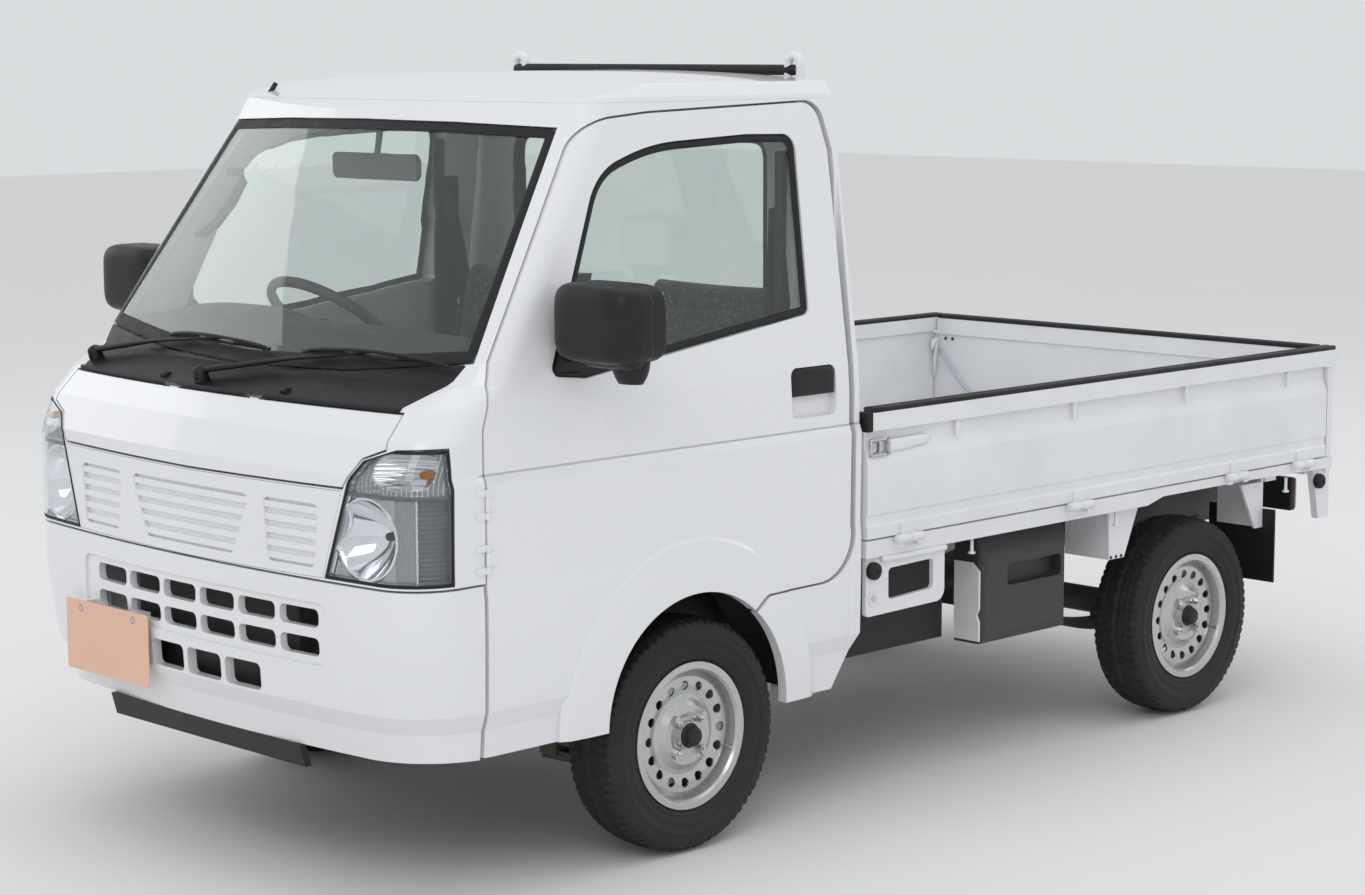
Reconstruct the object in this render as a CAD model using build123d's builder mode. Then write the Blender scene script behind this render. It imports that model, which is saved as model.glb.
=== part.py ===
from build123d import *
import os
from math import atan2, cos, radians, sin, sqrt

# Cab-over light truck with a drop-side bed, in millimetres.
# Front towards -Y, the truck's left side towards +X, ground at Z = 0,
# origin at the centre of the footprint.

os.makedirs("parts", exist_ok=True)

# Driving dimensions
overall_length = 3395
overall_width = 1475
wheelbase = 1905
front_axle_y = -848
front_track = 1305
rear_track = 1290
cab_back_y = -300
cab_bottom_z = 300
roof_top_z = 1742
panel_gap = 5
running_gap = 0.06
seat_gap = 0.3

nose_y = -overall_length / 2
tail_y = overall_length / 2
half_width = overall_width / 2
rear_axle_y = front_axle_y + wheelbase

# Cab walls, each as thick as the whole wall or door
plate_standoff = 6
side_wall = 60
panel_wall = 22
firewall = 23
back_wall = 35
roof_wall = 35
cab_front_y = nose_y + plate_standoff

# Plan sections of the cab from the sill to above the roof. Columns: height, half width,
# setback of the front centre, bow radius, corner radius, setback of the room's front
cab_sections = (
    (300, 712, 46, 5000, 200, 175),
    (385, 716, 28, 5000, 200, 175),
    (425, 728, 8, 5000, 190, 175),
    (560, 731, 0, 5000, 150, 175),
    (660, 731, 0, 5000, 135, 175),
    (690, 728, 0, 5000, 130, 175),
    (906, 731, 1, 5000, 130, 175),
    (926, 723, 3, 5000, 130, 175),
    (1000, 723, 30, 4500, 130, 175),
    (1060, 719, 80, 3800, 130, 175),
    (1105, 713, 161, 3600, 110, 192),
    (1150, 707, 191, 3500, 100, 220),
    (1628, 640, 504, 2220, 80, 533),
    (1690, 630, 539, 2220, 80, 568),
    (1715, 612, 553, 2220, 80, 582),
    (1760, 570, 578, 2220, 80, 607),
)
least_corner = 40


def outline(plane, points, radii=0):
    """Closed face on a plane, straight runs with a rounding radius at each corner."""
    with BuildSketch(plane, mode=Mode.PRIVATE) as face:
        with BuildLine():
            FilletPolyline(*points, radius=radii, close=True)
        make_face()
    return face.sketch


def slab(plane, points, start, end, radii=0, mode=Mode.ADD):
    """Outline carried along the plane's normal from one offset to another."""
    extrude(outline(plane.offset(start), points, radii), amount=end - start, mode=mode)


def bar(low, high, mode=Mode.ADD):
    """Rectangular bar between two opposite corners."""
    with Locations(tuple((a + b) / 2 for a, b in zip(low, high))):
        Box(*[b - a for a, b in zip(low, high)], mode=mode)


def rod(start, end, radius, mode=Mode.ADD):
    """Round bar between two points."""
    along = Vector(*end) - Vector(*start)
    with BuildSketch(Plane(origin=start, z_dir=along), mode=Mode.PRIVATE) as disc:
        Circle(radius)
    extrude(disc.sketch, amount=along.length, mode=mode)


def plan_section(height, half, front_y, bow, corner, back_y):
    """Plan outline: bowed front tangent to round corners, straight sides, straight back."""
    corner_x = half - corner
    bow_y = front_y + bow
    corner_y = bow_y - sqrt((bow - corner) ** 2 - corner_x**2)
    share = bow / (bow - corner)
    tangent = (corner_x * share, bow_y - (bow_y - corner_y) * share)
    middle = atan2(tangent[1] - corner_y, tangent[0] - corner_x) / 2
    on_corner = (corner_x + corner * cos(middle), corner_y + corner * sin(middle))
    side = (half, corner_y)
    back = (half, back_y)
    with BuildSketch(Plane.XY.offset(height), mode=Mode.PRIVATE) as face:
        with BuildLine():
            ThreePointArc((-tangent[0], tangent[1]), (0, front_y), tangent)
            ThreePointArc(tangent, on_corner, side)
            Line(side, back)
            Line(back, (-back[0], back_y))
            Line((-back[0], back_y), (-half, corner_y))
            ThreePointArc((-half, corner_y), (-on_corner[0], on_corner[1]), (-tangent[0], tangent[1]))
        make_face()
    return face.sketch


# Roof line seen from the side and from the front. Columns of the side line: Y, Z
windscreen_top = (-1168, 1660)
roof_front_mid = (-930, 1712)
roof_mid_y = -600
roof_rear_radius = 40
roof_crown_edge = (780, 37)
roof_reach = 900


def roof_limit(drop, back_y):
    """Space under the roof line, lowered by the drop."""
    top = roof_top_z - drop
    edge_x, edge_fall = roof_crown_edge
    with BuildPart(mode=Mode.PRIVATE) as under:
        with BuildSketch(Plane.YZ):
            with BuildLine():
                Polyline(
                    (windscreen_top[0], windscreen_top[1] - drop),
                    (-2 * roof_reach, windscreen_top[1] - drop - 250),
                    (-2 * roof_reach, 0),
                    (back_y, 0),
                    (back_y, top - roof_rear_radius),
                )
                RadiusArc(
                    (back_y, top - roof_rear_radius),
                    (back_y - roof_rear_radius, top),
                    -roof_rear_radius,
                )
                Line((back_y - roof_rear_radius, top), (roof_mid_y, top))
                ThreePointArc(
                    (roof_mid_y, top),
                    (roof_front_mid[0], roof_front_mid[1] - drop),
                    (windscreen_top[0], windscreen_top[1] - drop),
                )
            make_face()
        extrude(amount=roof_reach, both=True)
        with BuildSketch(Plane.XZ):
            with BuildLine():
                ThreePointArc((-edge_x, top - edge_fall), (0, top), (edge_x, top - edge_fall))
                Polyline(
                    (edge_x, top - edge_fall), (edge_x, 0), (-edge_x, 0), (-edge_x, top - edge_fall)
                )
            make_face()
        extrude(amount=2 * roof_reach, both=True, mode=Mode.INTERSECT)
    return under.part


def cab_block(inset, back, roof, room=False):
    """Solid of the cab's form moved inwards by the inset, or the room inside its walls."""
    with BuildPart(mode=Mode.PRIVATE) as block:
        sections = []
        for height, half, setback, bow, corner, room_setback in cab_sections:
            front = cab_front_y + (room_setback - firewall_reach(inset) if room else setback + inset)
            round_corner = max(corner - inset, least_corner)
            sections.append(
                plan_section(height, half - inset, front, bow, round_corner, cab_back_y - back)
            )
        loft(sections, ruled=True)
        add(roof_limit(roof, cab_back_y - back), mode=Mode.INTERSECT)
    return block.part


def firewall_reach(inset):
    """How far the room's front moves forward when its side inset is under the side wall."""
    return side_wall - inset


# Wheel arches in the cab's sides: opening and raised flare
arch_y = -842
arch_z = 316
arch_radius = 280
arch_lip_x = 712
arch_relief_radius = 316
flare_y = -853
flare_z = 334
flare_root_x = 722
flare_inner_x = 660
flare_profile = (
    # X, radius
    (half_width, 0), (half_width, 322), (733.5, 378), (flare_root_x, 399),
)

cab_outer = cab_block(0, 0, 0)
cab_room = cab_block(side_wall, back_wall, roof_wall, room=True)
cab_room_grown = cab_block(side_wall - firewall, back_wall, roof_wall, room=True)
cab_panel_back = cab_block(panel_wall, back_wall, roof_wall)

with BuildPart() as flares:
    for side in (1, -1):
        with BuildSketch(Plane.XY.offset(flare_z)):
            with BuildLine():
                Polyline(
                    *[(side * x, flare_y + radius) for x, radius in flare_profile],
                    (side * flare_inner_x, flare_y + flare_profile[-1][1]),
                    (side * flare_inner_x, flare_y),
                    close=True,
                )
            make_face()
        revolve(axis=Axis((0, flare_y, flare_z), (1, 0, 0)))
    bar((-half_width, nose_y, -roof_reach), (half_width, 0, cab_bottom_z), mode=Mode.SUBTRACT)
    bar((-half_width, cab_back_y, 0), (half_width, 0, roof_reach), mode=Mode.SUBTRACT)

# Doors: side outline, window and hinge line. Columns: Y, Z
door_front_y = -1455
door_rear_y = -335
door_bottom_z = 325
door_outline = (
    (door_front_y, door_bottom_z),
    (door_front_y, 1015),
    (-1406, 1150),
    (-1085, 1640),
    (-900, 1655),
    (-365, 1672),
    (door_rear_y, 1560),
    (door_rear_y, 566),
    (-625, 562),
    (-690, 512),
    (arch_y, 400),
    (-1122, door_bottom_z),
)
door_radii = (0, 60, 0, 150, 0, 55, 0, 110, 30, 0, 0, 0)
door_window = (
    (-1262, 1112),
    (-1070, 1535),
    (-900, 1590),
    (-600, 1603),
    (-440, 1600),
    (-450, 1190),
    (-1160, 1100),
)
door_window_radii = (20, 160, 600, 0, 40, 20, 0)
door_hinge_x = 735
door_hinge_zs = (735, 850)
door_hinge_length = 30
door_hinge_ear = 15
small_barrel = 4.4
small_pin = 2.5
ear_gap = 1
door_hinge_y = door_front_y - panel_gap / 2
door_swing_steps = (0, 2.5, 5, 8)


door_wall_x = 500
door_wall_depth = 300
side_plane = Plane.YZ.offset(door_wall_x)

with BuildPart() as door_space:
    with BuildSketch(side_plane):
        with BuildLine():
            FilletPolyline(*door_outline, radius=door_radii, close=True)
        make_face()
        offset(amount=panel_gap, kind=Kind.INTERSECTION)
    extrude(amount=door_wall_depth)

door_hinge = Axis((door_hinge_x, door_hinge_y, 0), (0, 0, -1))
door_sweep = [door_space.part.rotate(door_hinge, angle) for angle in door_swing_steps]

with BuildPart() as arch_space:
    with BuildSketch(Plane.YZ):
        with Locations((arch_y, arch_z)):
            Circle(arch_radius)
    extrude(amount=roof_reach, both=True)
    with BuildSketch(Plane.YZ):
        with Locations((arch_y, arch_z)):
            Circle(arch_relief_radius)
    extrude(amount=arch_lip_x, both=True)



def hinge_rods(low, high, axis, pin_hole, ears):
    """Barrel of a small hinge between two points, with a bore, or the two ears beside it and their pin."""
    step = Vector(*axis)
    start = Vector(*low)
    end = Vector(*high)
    if ears:
        rod(tuple(start - step * (ear_gap + door_hinge_ear)), tuple(start - step * ear_gap), pin_hole[0])
        rod(tuple(end + step * ear_gap), tuple(end + step * (ear_gap + door_hinge_ear)), pin_hole[0])
        rod(tuple(start - step * (ear_gap + 1)), tuple(end + step * (ear_gap + 1)), pin_hole[1])
    else:
        rod(tuple(start), tuple(end), pin_hole[0])
        rod(tuple(start), tuple(end), pin_hole[1] + running_gap, mode=Mode.SUBTRACT)


# Front openings seen from the front. Columns: X, Z
glass_outline = ((0, 1105), (340, 1116), (664, 1149), (577, 1628), (300, 1637), (0, 1640))
hood_top_z = 1050
hood_outline = ((0, 897), (514, 901), (525, 919), (556, 964), (612, 985), (602, hood_top_z), (0, hood_top_z))
nose_outline = ((0, 700), (452, 704), (512, 892), (0, 889))
cowl_outline = (
    (0, 1055), (583, 1055), (614, 1087), (640, 1114), (652, 1147.8), (340, 1116), (0, 1105),
)
lamp_outline = (
    (459, 704), (531, 915), (562, 958), (640, 985), (800, 992), (800, 704),
)
lamp_back_y = -1541
bumper_top_z = 694
bumper_back_y = door_front_y - panel_gap


def write(piece, name):
    """Label a finished piece and write it as its own file."""
    piece.label = name
    export_step(piece, f"parts/{name}.step")


def front_prism(points, start_y, end_y, grow=0):
    """Front outline, with its mirror image where it meets the middle line, cut through the nose."""
    points = list(points)
    if points[0][0] == 0:
        points += [(-x, z) for x, z in reversed(points[1:-1])]
    face = outline(Plane.XZ.offset(-start_y), points)
    if grow:
        face = offset(face, amount=grow, kind=Kind.INTERSECTION, mode=Mode.PRIVATE)
    return extrude(face, amount=start_y - end_y, mode=Mode.PRIVATE)


nose_cut_y = nose_y - 60
glass_back_y = -1000
cowl_back_y = -1440

side_surface_x = 730
hood_axis_y = -1612
hood_axis_z = 1056
hood_hinge_x = 150
hood_hinge_half = 15
hood_barrel = 3.5
hood_pin = 1.8

# Cab shell: side walls, pillars, roof, rear wall with its window and the firewall
void_half = 648
void_back_y = -1480
void_top_z = 1042
firewall_foot_z = 470
engine_tunnel_half = 300
engine_tunnel_z = 622
rear_window_half = 455
rear_window_low = 1175
rear_window_high = 1590
rear_window_radius = 60
roof_seam_z = 1680
back_seam_y = -340
sill_cut = ((-400, 200), (-384, 299), (-290, 440), (-200, 440), (-200, 200))

with BuildPart() as nose_void:
    add(cab_panel_back)
    bar((-void_half, nose_cut_y, 0), (void_half, void_back_y, void_top_z), mode=Mode.INTERSECT)
    add(cab_room_grown, mode=Mode.SUBTRACT)

with BuildPart() as bumper_space:
    bar((-800, nose_cut_y, 0), (800, bumper_back_y, bumper_top_z + panel_gap))
    add(cab_room_grown, mode=Mode.SUBTRACT)

with BuildPart() as cab_shell:
    add(cab_outer)
    add(flares.part)
    add(cab_room, mode=Mode.SUBTRACT)
    add(nose_void.part, mode=Mode.SUBTRACT)
    for space in door_sweep:
        add(space, mode=Mode.SUBTRACT)
        add(mirror(space, about=Plane.YZ), mode=Mode.SUBTRACT)
    add(arch_space.part, mode=Mode.SUBTRACT)
    for opening, back_y in ((glass_outline, glass_back_y), (cowl_outline, cowl_back_y)):
        add(front_prism(opening, back_y, nose_cut_y), mode=Mode.SUBTRACT)
    add(front_prism(hood_outline, lamp_back_y, nose_cut_y, grow=panel_gap), mode=Mode.SUBTRACT)
    add(front_prism(nose_outline, lamp_back_y, nose_cut_y, grow=1), mode=Mode.SUBTRACT)
    lamp_space = front_prism(lamp_outline, lamp_back_y, nose_cut_y, grow=1)
    add(lamp_space, mode=Mode.SUBTRACT)
    add(mirror(lamp_space, about=Plane.YZ), mode=Mode.SUBTRACT)
    add(bumper_space.part, mode=Mode.SUBTRACT)
    bar((-800, nose_cut_y, 0), (800, bumper_back_y, firewall_foot_z), mode=Mode.SUBTRACT)
    bar((-800, nose_cut_y, 0), (800, arch_y, door_bottom_z), mode=Mode.SUBTRACT)
    bar((-void_half, bumper_back_y, 0), (void_half, 0, firewall_foot_z), mode=Mode.SUBTRACT)
    bar((-engine_tunnel_half, -400, 0), (engine_tunnel_half, 0, engine_tunnel_z), mode=Mode.SUBTRACT)
    window = ((-rear_window_half, rear_window_low), (rear_window_half, rear_window_low),
              (rear_window_half, rear_window_high), (-rear_window_half, rear_window_high))
    slab(Plane.XZ, window, -cab_back_y - 10, 400, rear_window_radius, mode=Mode.SUBTRACT)
    slab(Plane.YZ, sill_cut, -800, 800, mode=Mode.SUBTRACT)
    for hinge_z in door_hinge_zs:
        for side in (1, -1):
            low_x, high_x = sorted((side * (side_surface_x - 3), side * (door_hinge_x - 2)))
            for low_z in (hinge_z - ear_gap - door_hinge_ear, hinge_z + door_hinge_length + ear_gap):
                bar((low_x, -1485, low_z), (high_x, door_hinge_y - 1, low_z + door_hinge_ear))
            hinge_rods((side * door_hinge_x, door_hinge_y, hinge_z),
                       (side * door_hinge_x, door_hinge_y, hinge_z + door_hinge_length),
                       (0, 0, 1), (small_barrel, small_pin), ears=True)
    for side in (1, -1):
        low_x = side * hood_hinge_x - hood_hinge_half
        rod((low_x - ear_gap, hood_axis_y, hood_axis_z), (low_x + 2 * hood_hinge_half + ear_gap, hood_axis_y,
            hood_axis_z), hood_barrel + ear_gap, mode=Mode.SUBTRACT)
        for ear_x in (low_x - ear_gap - door_hinge_ear, low_x + 2 * hood_hinge_half + ear_gap):
            bar((ear_x, hood_axis_y, hood_axis_z - hood_barrel),
                (ear_x + door_hinge_ear, lamp_back_y + 5, hood_axis_z - 1))
        hinge_rods((low_x, hood_axis_y, hood_axis_z), (low_x + 2 * hood_hinge_half, hood_axis_y, hood_axis_z),
                   (1, 0, 0), (hood_barrel, hood_pin), ears=True)
with BuildPart() as roof_panel:
    add(cab_shell.part)
    bar((-800, nose_y, roof_seam_z), (800, 0, 2000), mode=Mode.INTERSECT)
write(roof_panel.part, "roof_panel")
with BuildPart() as cab_back_panel:
    add(cab_shell.part)
    bar((-800, back_seam_y, 0), (800, 0, roof_seam_z - seat_gap), mode=Mode.INTERSECT)
write(cab_back_panel.part, "cab_back_panel")
with BuildPart() as cab_frame:
    add(cab_shell.part)
    bar((-800, nose_y, 0), (800, back_seam_y - seat_gap, roof_seam_z - seat_gap), mode=Mode.INTERSECT)
write(cab_frame.part, "cab_shell")

# Front skin pieces that stand in the shell's openings
with BuildPart() as hood:
    add(cab_outer)
    add(cab_panel_back, mode=Mode.SUBTRACT)
    add(front_prism(hood_outline, lamp_back_y, nose_cut_y), mode=Mode.INTERSECT)
    for side in (1, -1):
        low_x = side * hood_hinge_x - hood_hinge_half
        bar((low_x, hood_axis_y - 3, hood_top_z - 10), (low_x + 2 * hood_hinge_half, hood_axis_y + 3, hood_axis_z))
        hinge_rods((low_x, hood_axis_y, hood_axis_z), (low_x + 2 * hood_hinge_half, hood_axis_y, hood_axis_z),
                   (1, 0, 0), (hood_barrel, hood_pin), ears=False)
write(hood.part, "hood")

rib_depth = 9
rib_setback = 2
rib_pitch = 27
rib_height = 14
rib_count = 5
rib_low_z = 728
grille_recesses = (
    # centre X, half width at the top, half width at the bottom, top Z, bottom Z
    (0, 222, 160, 858, 722),
    (354, 88, 74, 858, 722),
    (-354, 88, 74, 858, 722),
)
with BuildPart() as grille_ribs:
    for row in range(rib_count):
        low_z = rib_low_z + row * rib_pitch
        bar((-500, nose_cut_y, low_z), (500, lamp_back_y, low_z + rib_height))
    add(cab_block(rib_setback, back_wall, roof_wall), mode=Mode.INTERSECT)
with BuildPart() as grille_recess:
    for centre_x, top_half, bottom_half, top_z, bottom_z in grille_recesses:
        corners = ((centre_x - top_half, top_z), (centre_x + top_half, top_z),
                   (centre_x + bottom_half, bottom_z), (centre_x - bottom_half, bottom_z))
        slab(Plane.XZ, corners, -lamp_back_y, -nose_cut_y, 14)
    add(cab_block(rib_depth, back_wall, roof_wall), mode=Mode.SUBTRACT)
    add(grille_ribs.part, mode=Mode.SUBTRACT)
with BuildPart() as nose_panel:
    add(cab_outer)
    add(cab_panel_back, mode=Mode.SUBTRACT)
    add(front_prism(nose_outline, lamp_back_y, nose_cut_y), mode=Mode.INTERSECT)
    add(grille_recess.part, mode=Mode.SUBTRACT)
write(nose_panel.part, "nose_panel")

bumper_skin = 24
bumper_bottom_z = 322
slot_rows = (
    # bottom Z, top Z, left end X of the row, cells
    (592, 632, 431, 6),
    (530, 570, 431, 6),
    (430, 490, 240, 3),
)
slot_pitch = 139
slot_width = 124
slot_radius = 14
intake_recess = 6
intake_outline = ((-442, 512), (462, 512), (462, 648), (-442, 648))
slit_xs = (-692, -640)
slit_count = 5
slit_low_z = 401
slit_pitch = 13
slit_height = 7
plate_centre = (-322, 458)
plate_size = (330, 165)
plate_thickness = 2
plate_back_y = nose_y + plate_thickness
plate_pad_height = 40
plate_pad_depth = 30
bumper_back = cab_block(bumper_skin, back_wall, roof_wall)
with BuildPart() as intake_space:
    slab(Plane.XZ, intake_outline, 1600, -nose_cut_y, 24)
    add(cab_block(intake_recess, back_wall, roof_wall), mode=Mode.SUBTRACT)
with BuildPart() as front_bumper:
    add(cab_outer)
    add(bumper_back, mode=Mode.SUBTRACT)
    add(intake_space.part, mode=Mode.SUBTRACT)
    bar((-800, nose_cut_y, bumper_bottom_z), (800, bumper_back_y - panel_gap, bumper_top_z),
        mode=Mode.INTERSECT)
    for bottom_z, top_z, left_x, cells in slot_rows:
        for cell in range(cells):
            right = left_x - cell * slot_pitch
            cell_outline = ((right - slot_width, bottom_z), (right, bottom_z), (right, top_z),
                            (right - slot_width, top_z))
            slab(Plane.XZ, cell_outline, 1600, -nose_cut_y, slot_radius, mode=Mode.SUBTRACT)
    for slit in range(slit_count):
        low_z = slit_low_z + slit * slit_pitch
        bar((slit_xs[0], nose_cut_y, low_z), (slit_xs[1], -1500, low_z + slit_height), mode=Mode.SUBTRACT)
    for side in (1, -1):
        pad_x = plate_centre[0] + side * plate_size[0] / 3
        bar((pad_x - plate_pad_height / 2, plate_back_y + seat_gap, plate_centre[1]),
            (pad_x + plate_pad_height / 2, plate_back_y + plate_pad_depth, plate_centre[1] + plate_size[1] / 2))
write(front_bumper.part, "front_bumper")

with BuildPart() as number_plate:
    with BuildSketch(Plane.XZ.offset(-nose_y - plate_thickness)):
        with Locations(plate_centre):
            RectangleRounded(*plate_size, 6)
    extrude(amount=plate_thickness)
write(number_plate.part, "number_plate")

valance_top_z = bumper_bottom_z - seat_gap
with BuildPart() as front_valance:
    slab(Plane.YZ, ((-1648, valance_top_z), (-1632, valance_top_z), (-1618, 270), (-1634, 270)), -388, 330)
write(front_valance.part, "front_valance")

with BuildPart() as radiator:
    bar((-300, -1618, 350), (300, -1583, 650))
write(radiator.part, "radiator")

glass_thickness = 6
glass_front = cab_block(4, back_wall, roof_wall)
glass_rear = cab_block(4 + glass_thickness, back_wall, roof_wall)
with BuildPart() as windshield:
    add(glass_front)
    add(glass_rear, mode=Mode.SUBTRACT)
    add(front_prism(glass_outline, glass_back_y, nose_cut_y, grow=-0.5), mode=Mode.INTERSECT)
write(windshield.part, "windshield")

with BuildPart() as cowl_panel:
    add(cab_outer)
    add(cab_panel_back, mode=Mode.SUBTRACT)
    add(front_prism(cowl_outline, cowl_back_y, nose_cut_y, grow=-0.5), mode=Mode.INTERSECT)
    for side in (1, -1):
        notch_x = side * hood_hinge_x
        reach = hood_hinge_half + door_hinge_ear + 2 * ear_gap
        rod((notch_x - reach, hood_axis_y, hood_axis_z), (notch_x + reach, hood_axis_y, hood_axis_z),
            hood_barrel + ear_gap, mode=Mode.SUBTRACT)
write(cowl_panel.part, "cowl_panel")

# Wipers: pivots on the cowl, arms and blades along the glass. Columns: X, Y, Z
wiper_arms = (
    ((-70, -1590, 1062), (-70, -1597, 1092), (163, -1533, 1130), (400, -1488, 1160)),
    ((-578, -1530, 1066), (-578, -1541, 1098), (-372, -1517, 1130), (-106, -1517, 1157)),
)
wiper_blades = (
    ((194, -1514, 1148), (412, -1494, 1150), (626, -1467, 1144)),
    ((-319, -1505, 1148), (-106, -1518, 1148), (84, -1521, 1145)),
)
wiper_pivot_radius = 13
wiper_arm_radius = 5
wiper_blade_radius = 6
wiper_space = cab_block(-seat_gap, back_wall, 0)
with BuildPart() as wipers:
    for pivot, *line in wiper_arms:
        rod(pivot, line[0], wiper_pivot_radius)
        for start, end in zip(line, line[1:]):
            rod(start, end, wiper_arm_radius)
            with Locations(end):
                Sphere(wiper_arm_radius)
    for line in wiper_blades:
        for start, end in zip(line, line[1:]):
            rod(start, end, wiper_blade_radius)
            with Locations(start, end):
                Sphere(wiper_blade_radius)
    add(wiper_space, mode=Mode.SUBTRACT)
write(wipers.part, "wipers")

# Inside mirror and sun visors under the roof
fittings_room = cab_block(side_wall + seat_gap, back_wall + seat_gap, roof_wall + seat_gap, room=True)
visor_xs = ((60, 500), (-500, -60))
with BuildPart() as cabin_fittings:
    bar((-120 - 156, -1058, 1492), (36, -1044, 1553))
    fillet(cabin_fittings.edges().filter_by(Axis.Y), 18)
    rod((-120, -1050, 1530), (-120, -1020, 1720), 8)
    for low_x, high_x in visor_xs:
        bar((low_x, -1010, 1610), (high_x, -870, 1622))
        rod(((low_x + high_x) / 2, -900, 1615), ((low_x + high_x) / 2, -900, 1720), 7)
    add(fittings_room, mode=Mode.INTERSECT)
write(cabin_fittings.part, "cabin_fittings")

# Headlamps: a lens over a deep housing with two bowls
lens_thickness = 4
lamp_depth = 100
bowl_main = (600, 800, 82)
lens_back = cab_block(lens_thickness, back_wall, roof_wall)
housing_front = cab_block(lens_thickness + seat_gap, back_wall, roof_wall)
with BuildPart() as lamp_lens:
    add(cab_outer)
    add(lens_back, mode=Mode.SUBTRACT)
    add(front_prism(lamp_outline, lamp_back_y - 1, nose_cut_y), mode=Mode.INTERSECT)
with BuildPart() as lamp_housing:
    add(housing_front)
    add(front_prism(lamp_outline, lamp_back_y - 1, nose_cut_y), mode=Mode.INTERSECT)
    bar((0, lamp_back_y - 1 - lamp_depth, 0), (800, 0, 2000), mode=Mode.INTERSECT)
    with Locations((bowl_main[0], nose_y, bowl_main[1])):
        Sphere(bowl_main[2] + 40, mode=Mode.SUBTRACT)
for piece, name in ((lamp_lens, "headlamp_lenses"), (lamp_housing, "headlamp_housings")):
    with BuildPart() as pair:
        add(piece.part)
        mirror(about=Plane.YZ)
    write(pair.part, name)

# Doors with their glass, mirror and handle
handle_pocket = ((-530, 953), (-380, 953), (-380, 1070), (-530, 1070))
handle_flap = ((-527, 1004), (-383, 1004), (-383, 1067), (-527, 1067))
door_glass_inset = 8
door_glass_thickness = 5
door_glass_front = cab_block(door_glass_inset, back_wall, roof_wall)
door_glass_rear = cab_block(door_glass_inset + door_glass_thickness, back_wall, roof_wall)
pocket_depth = 22
with BuildPart() as door:
    add(cab_outer)
    add(flares.part)
    slab(Plane.YZ, door_outline, door_wall_x, door_wall_x + door_wall_depth, door_radii,
         mode=Mode.INTERSECT)
    add(cab_room, mode=Mode.SUBTRACT)
    add(arch_space.part, mode=Mode.SUBTRACT)
    slab(Plane.YZ, door_window, door_wall_x, door_wall_x + door_wall_depth, door_window_radii,
         mode=Mode.SUBTRACT)
    slab(Plane.YZ, handle_pocket, 724 - pocket_depth, 800, 20, mode=Mode.SUBTRACT)
    for hinge_z in door_hinge_zs:
        bar((side_surface_x - 3, door_hinge_y + 1, hinge_z), (door_hinge_x - 2, -1430, hinge_z + door_hinge_length))
        hinge_rods((door_hinge_x, door_hinge_y, hinge_z), (door_hinge_x, door_hinge_y, hinge_z + door_hinge_length),
                   (0, 0, 1), (small_barrel, small_pin), ears=False)
with BuildPart() as door_glass:
    add(door_glass_front)
    add(door_glass_rear, mode=Mode.SUBTRACT)
    window = offset(outline(side_plane, door_window, door_window_radii), amount=-seat_gap,
                    kind=Kind.INTERSECTION, mode=Mode.PRIVATE)
    extrude(window, amount=door_wall_depth, mode=Mode.INTERSECT)
mirror_low = (748, -1262, 1152)
mirror_high = (958, -1166, 1312)
mirror_rounding = 36
mirror_bulge_y = -1214
mirror_base = ((-1250, 1122), (-1208, 1216), (-1150, 1166), (-1166, 1118))
fitting_back = cab_block(door_glass_inset - seat_gap, back_wall, roof_wall)
with BuildPart() as door_fittings:
    bar(mirror_low, mirror_high)
    fillet(door_fittings.edges(), mirror_rounding)
    rod((mirror_low[0] + 45, mirror_bulge_y, mirror_low[2] + 14), (mirror_high[0] - 45, mirror_bulge_y, mirror_low[2] + 14), 30)
    with Locations((mirror_low[0] + 45, mirror_bulge_y, mirror_low[2] + 14), (mirror_high[0] - 45, mirror_bulge_y, mirror_low[2] + 14)):
        Sphere(30)
    rod((700, -1205, 1150), (770, -1215, 1165), 16)
    slab(Plane.YZ, mirror_base, 680, 722)
    add(fitting_back, mode=Mode.SUBTRACT)
    slab(Plane.YZ, handle_flap, 724 - pocket_depth + seat_gap, 718, 17)
for side, name in ((1, "left"), (-1, "right")):
    for piece, part_name in ((door, "door"), (door_glass, "door_glass"), (door_fittings, "door_fittings")):
        placed = piece.part if side > 0 else mirror(piece.part, about=Plane.YZ)
        write(placed, f"{part_name}_{name}")

# Cab floor: footwell, riser and seat deck, with walls inboard of the front wheels
floor_half = 728 - side_wall - panel_gap
floor_form = cab_block(side_wall + panel_gap, back_wall, roof_wall, room=True)
strut_top = (505, 630)
strut_foot = (600, 180)
strut_slope = (strut_foot[0] - strut_top[0]) / (strut_foot[1] - strut_top[1])
strut_mount_z = 622
strut_mount_radius = 34


def strut_point(height):
    """Point of the left steering axis at a height."""
    return (strut_top[0] + (height - strut_top[1]) * strut_slope, front_axle_y, height)


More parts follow.
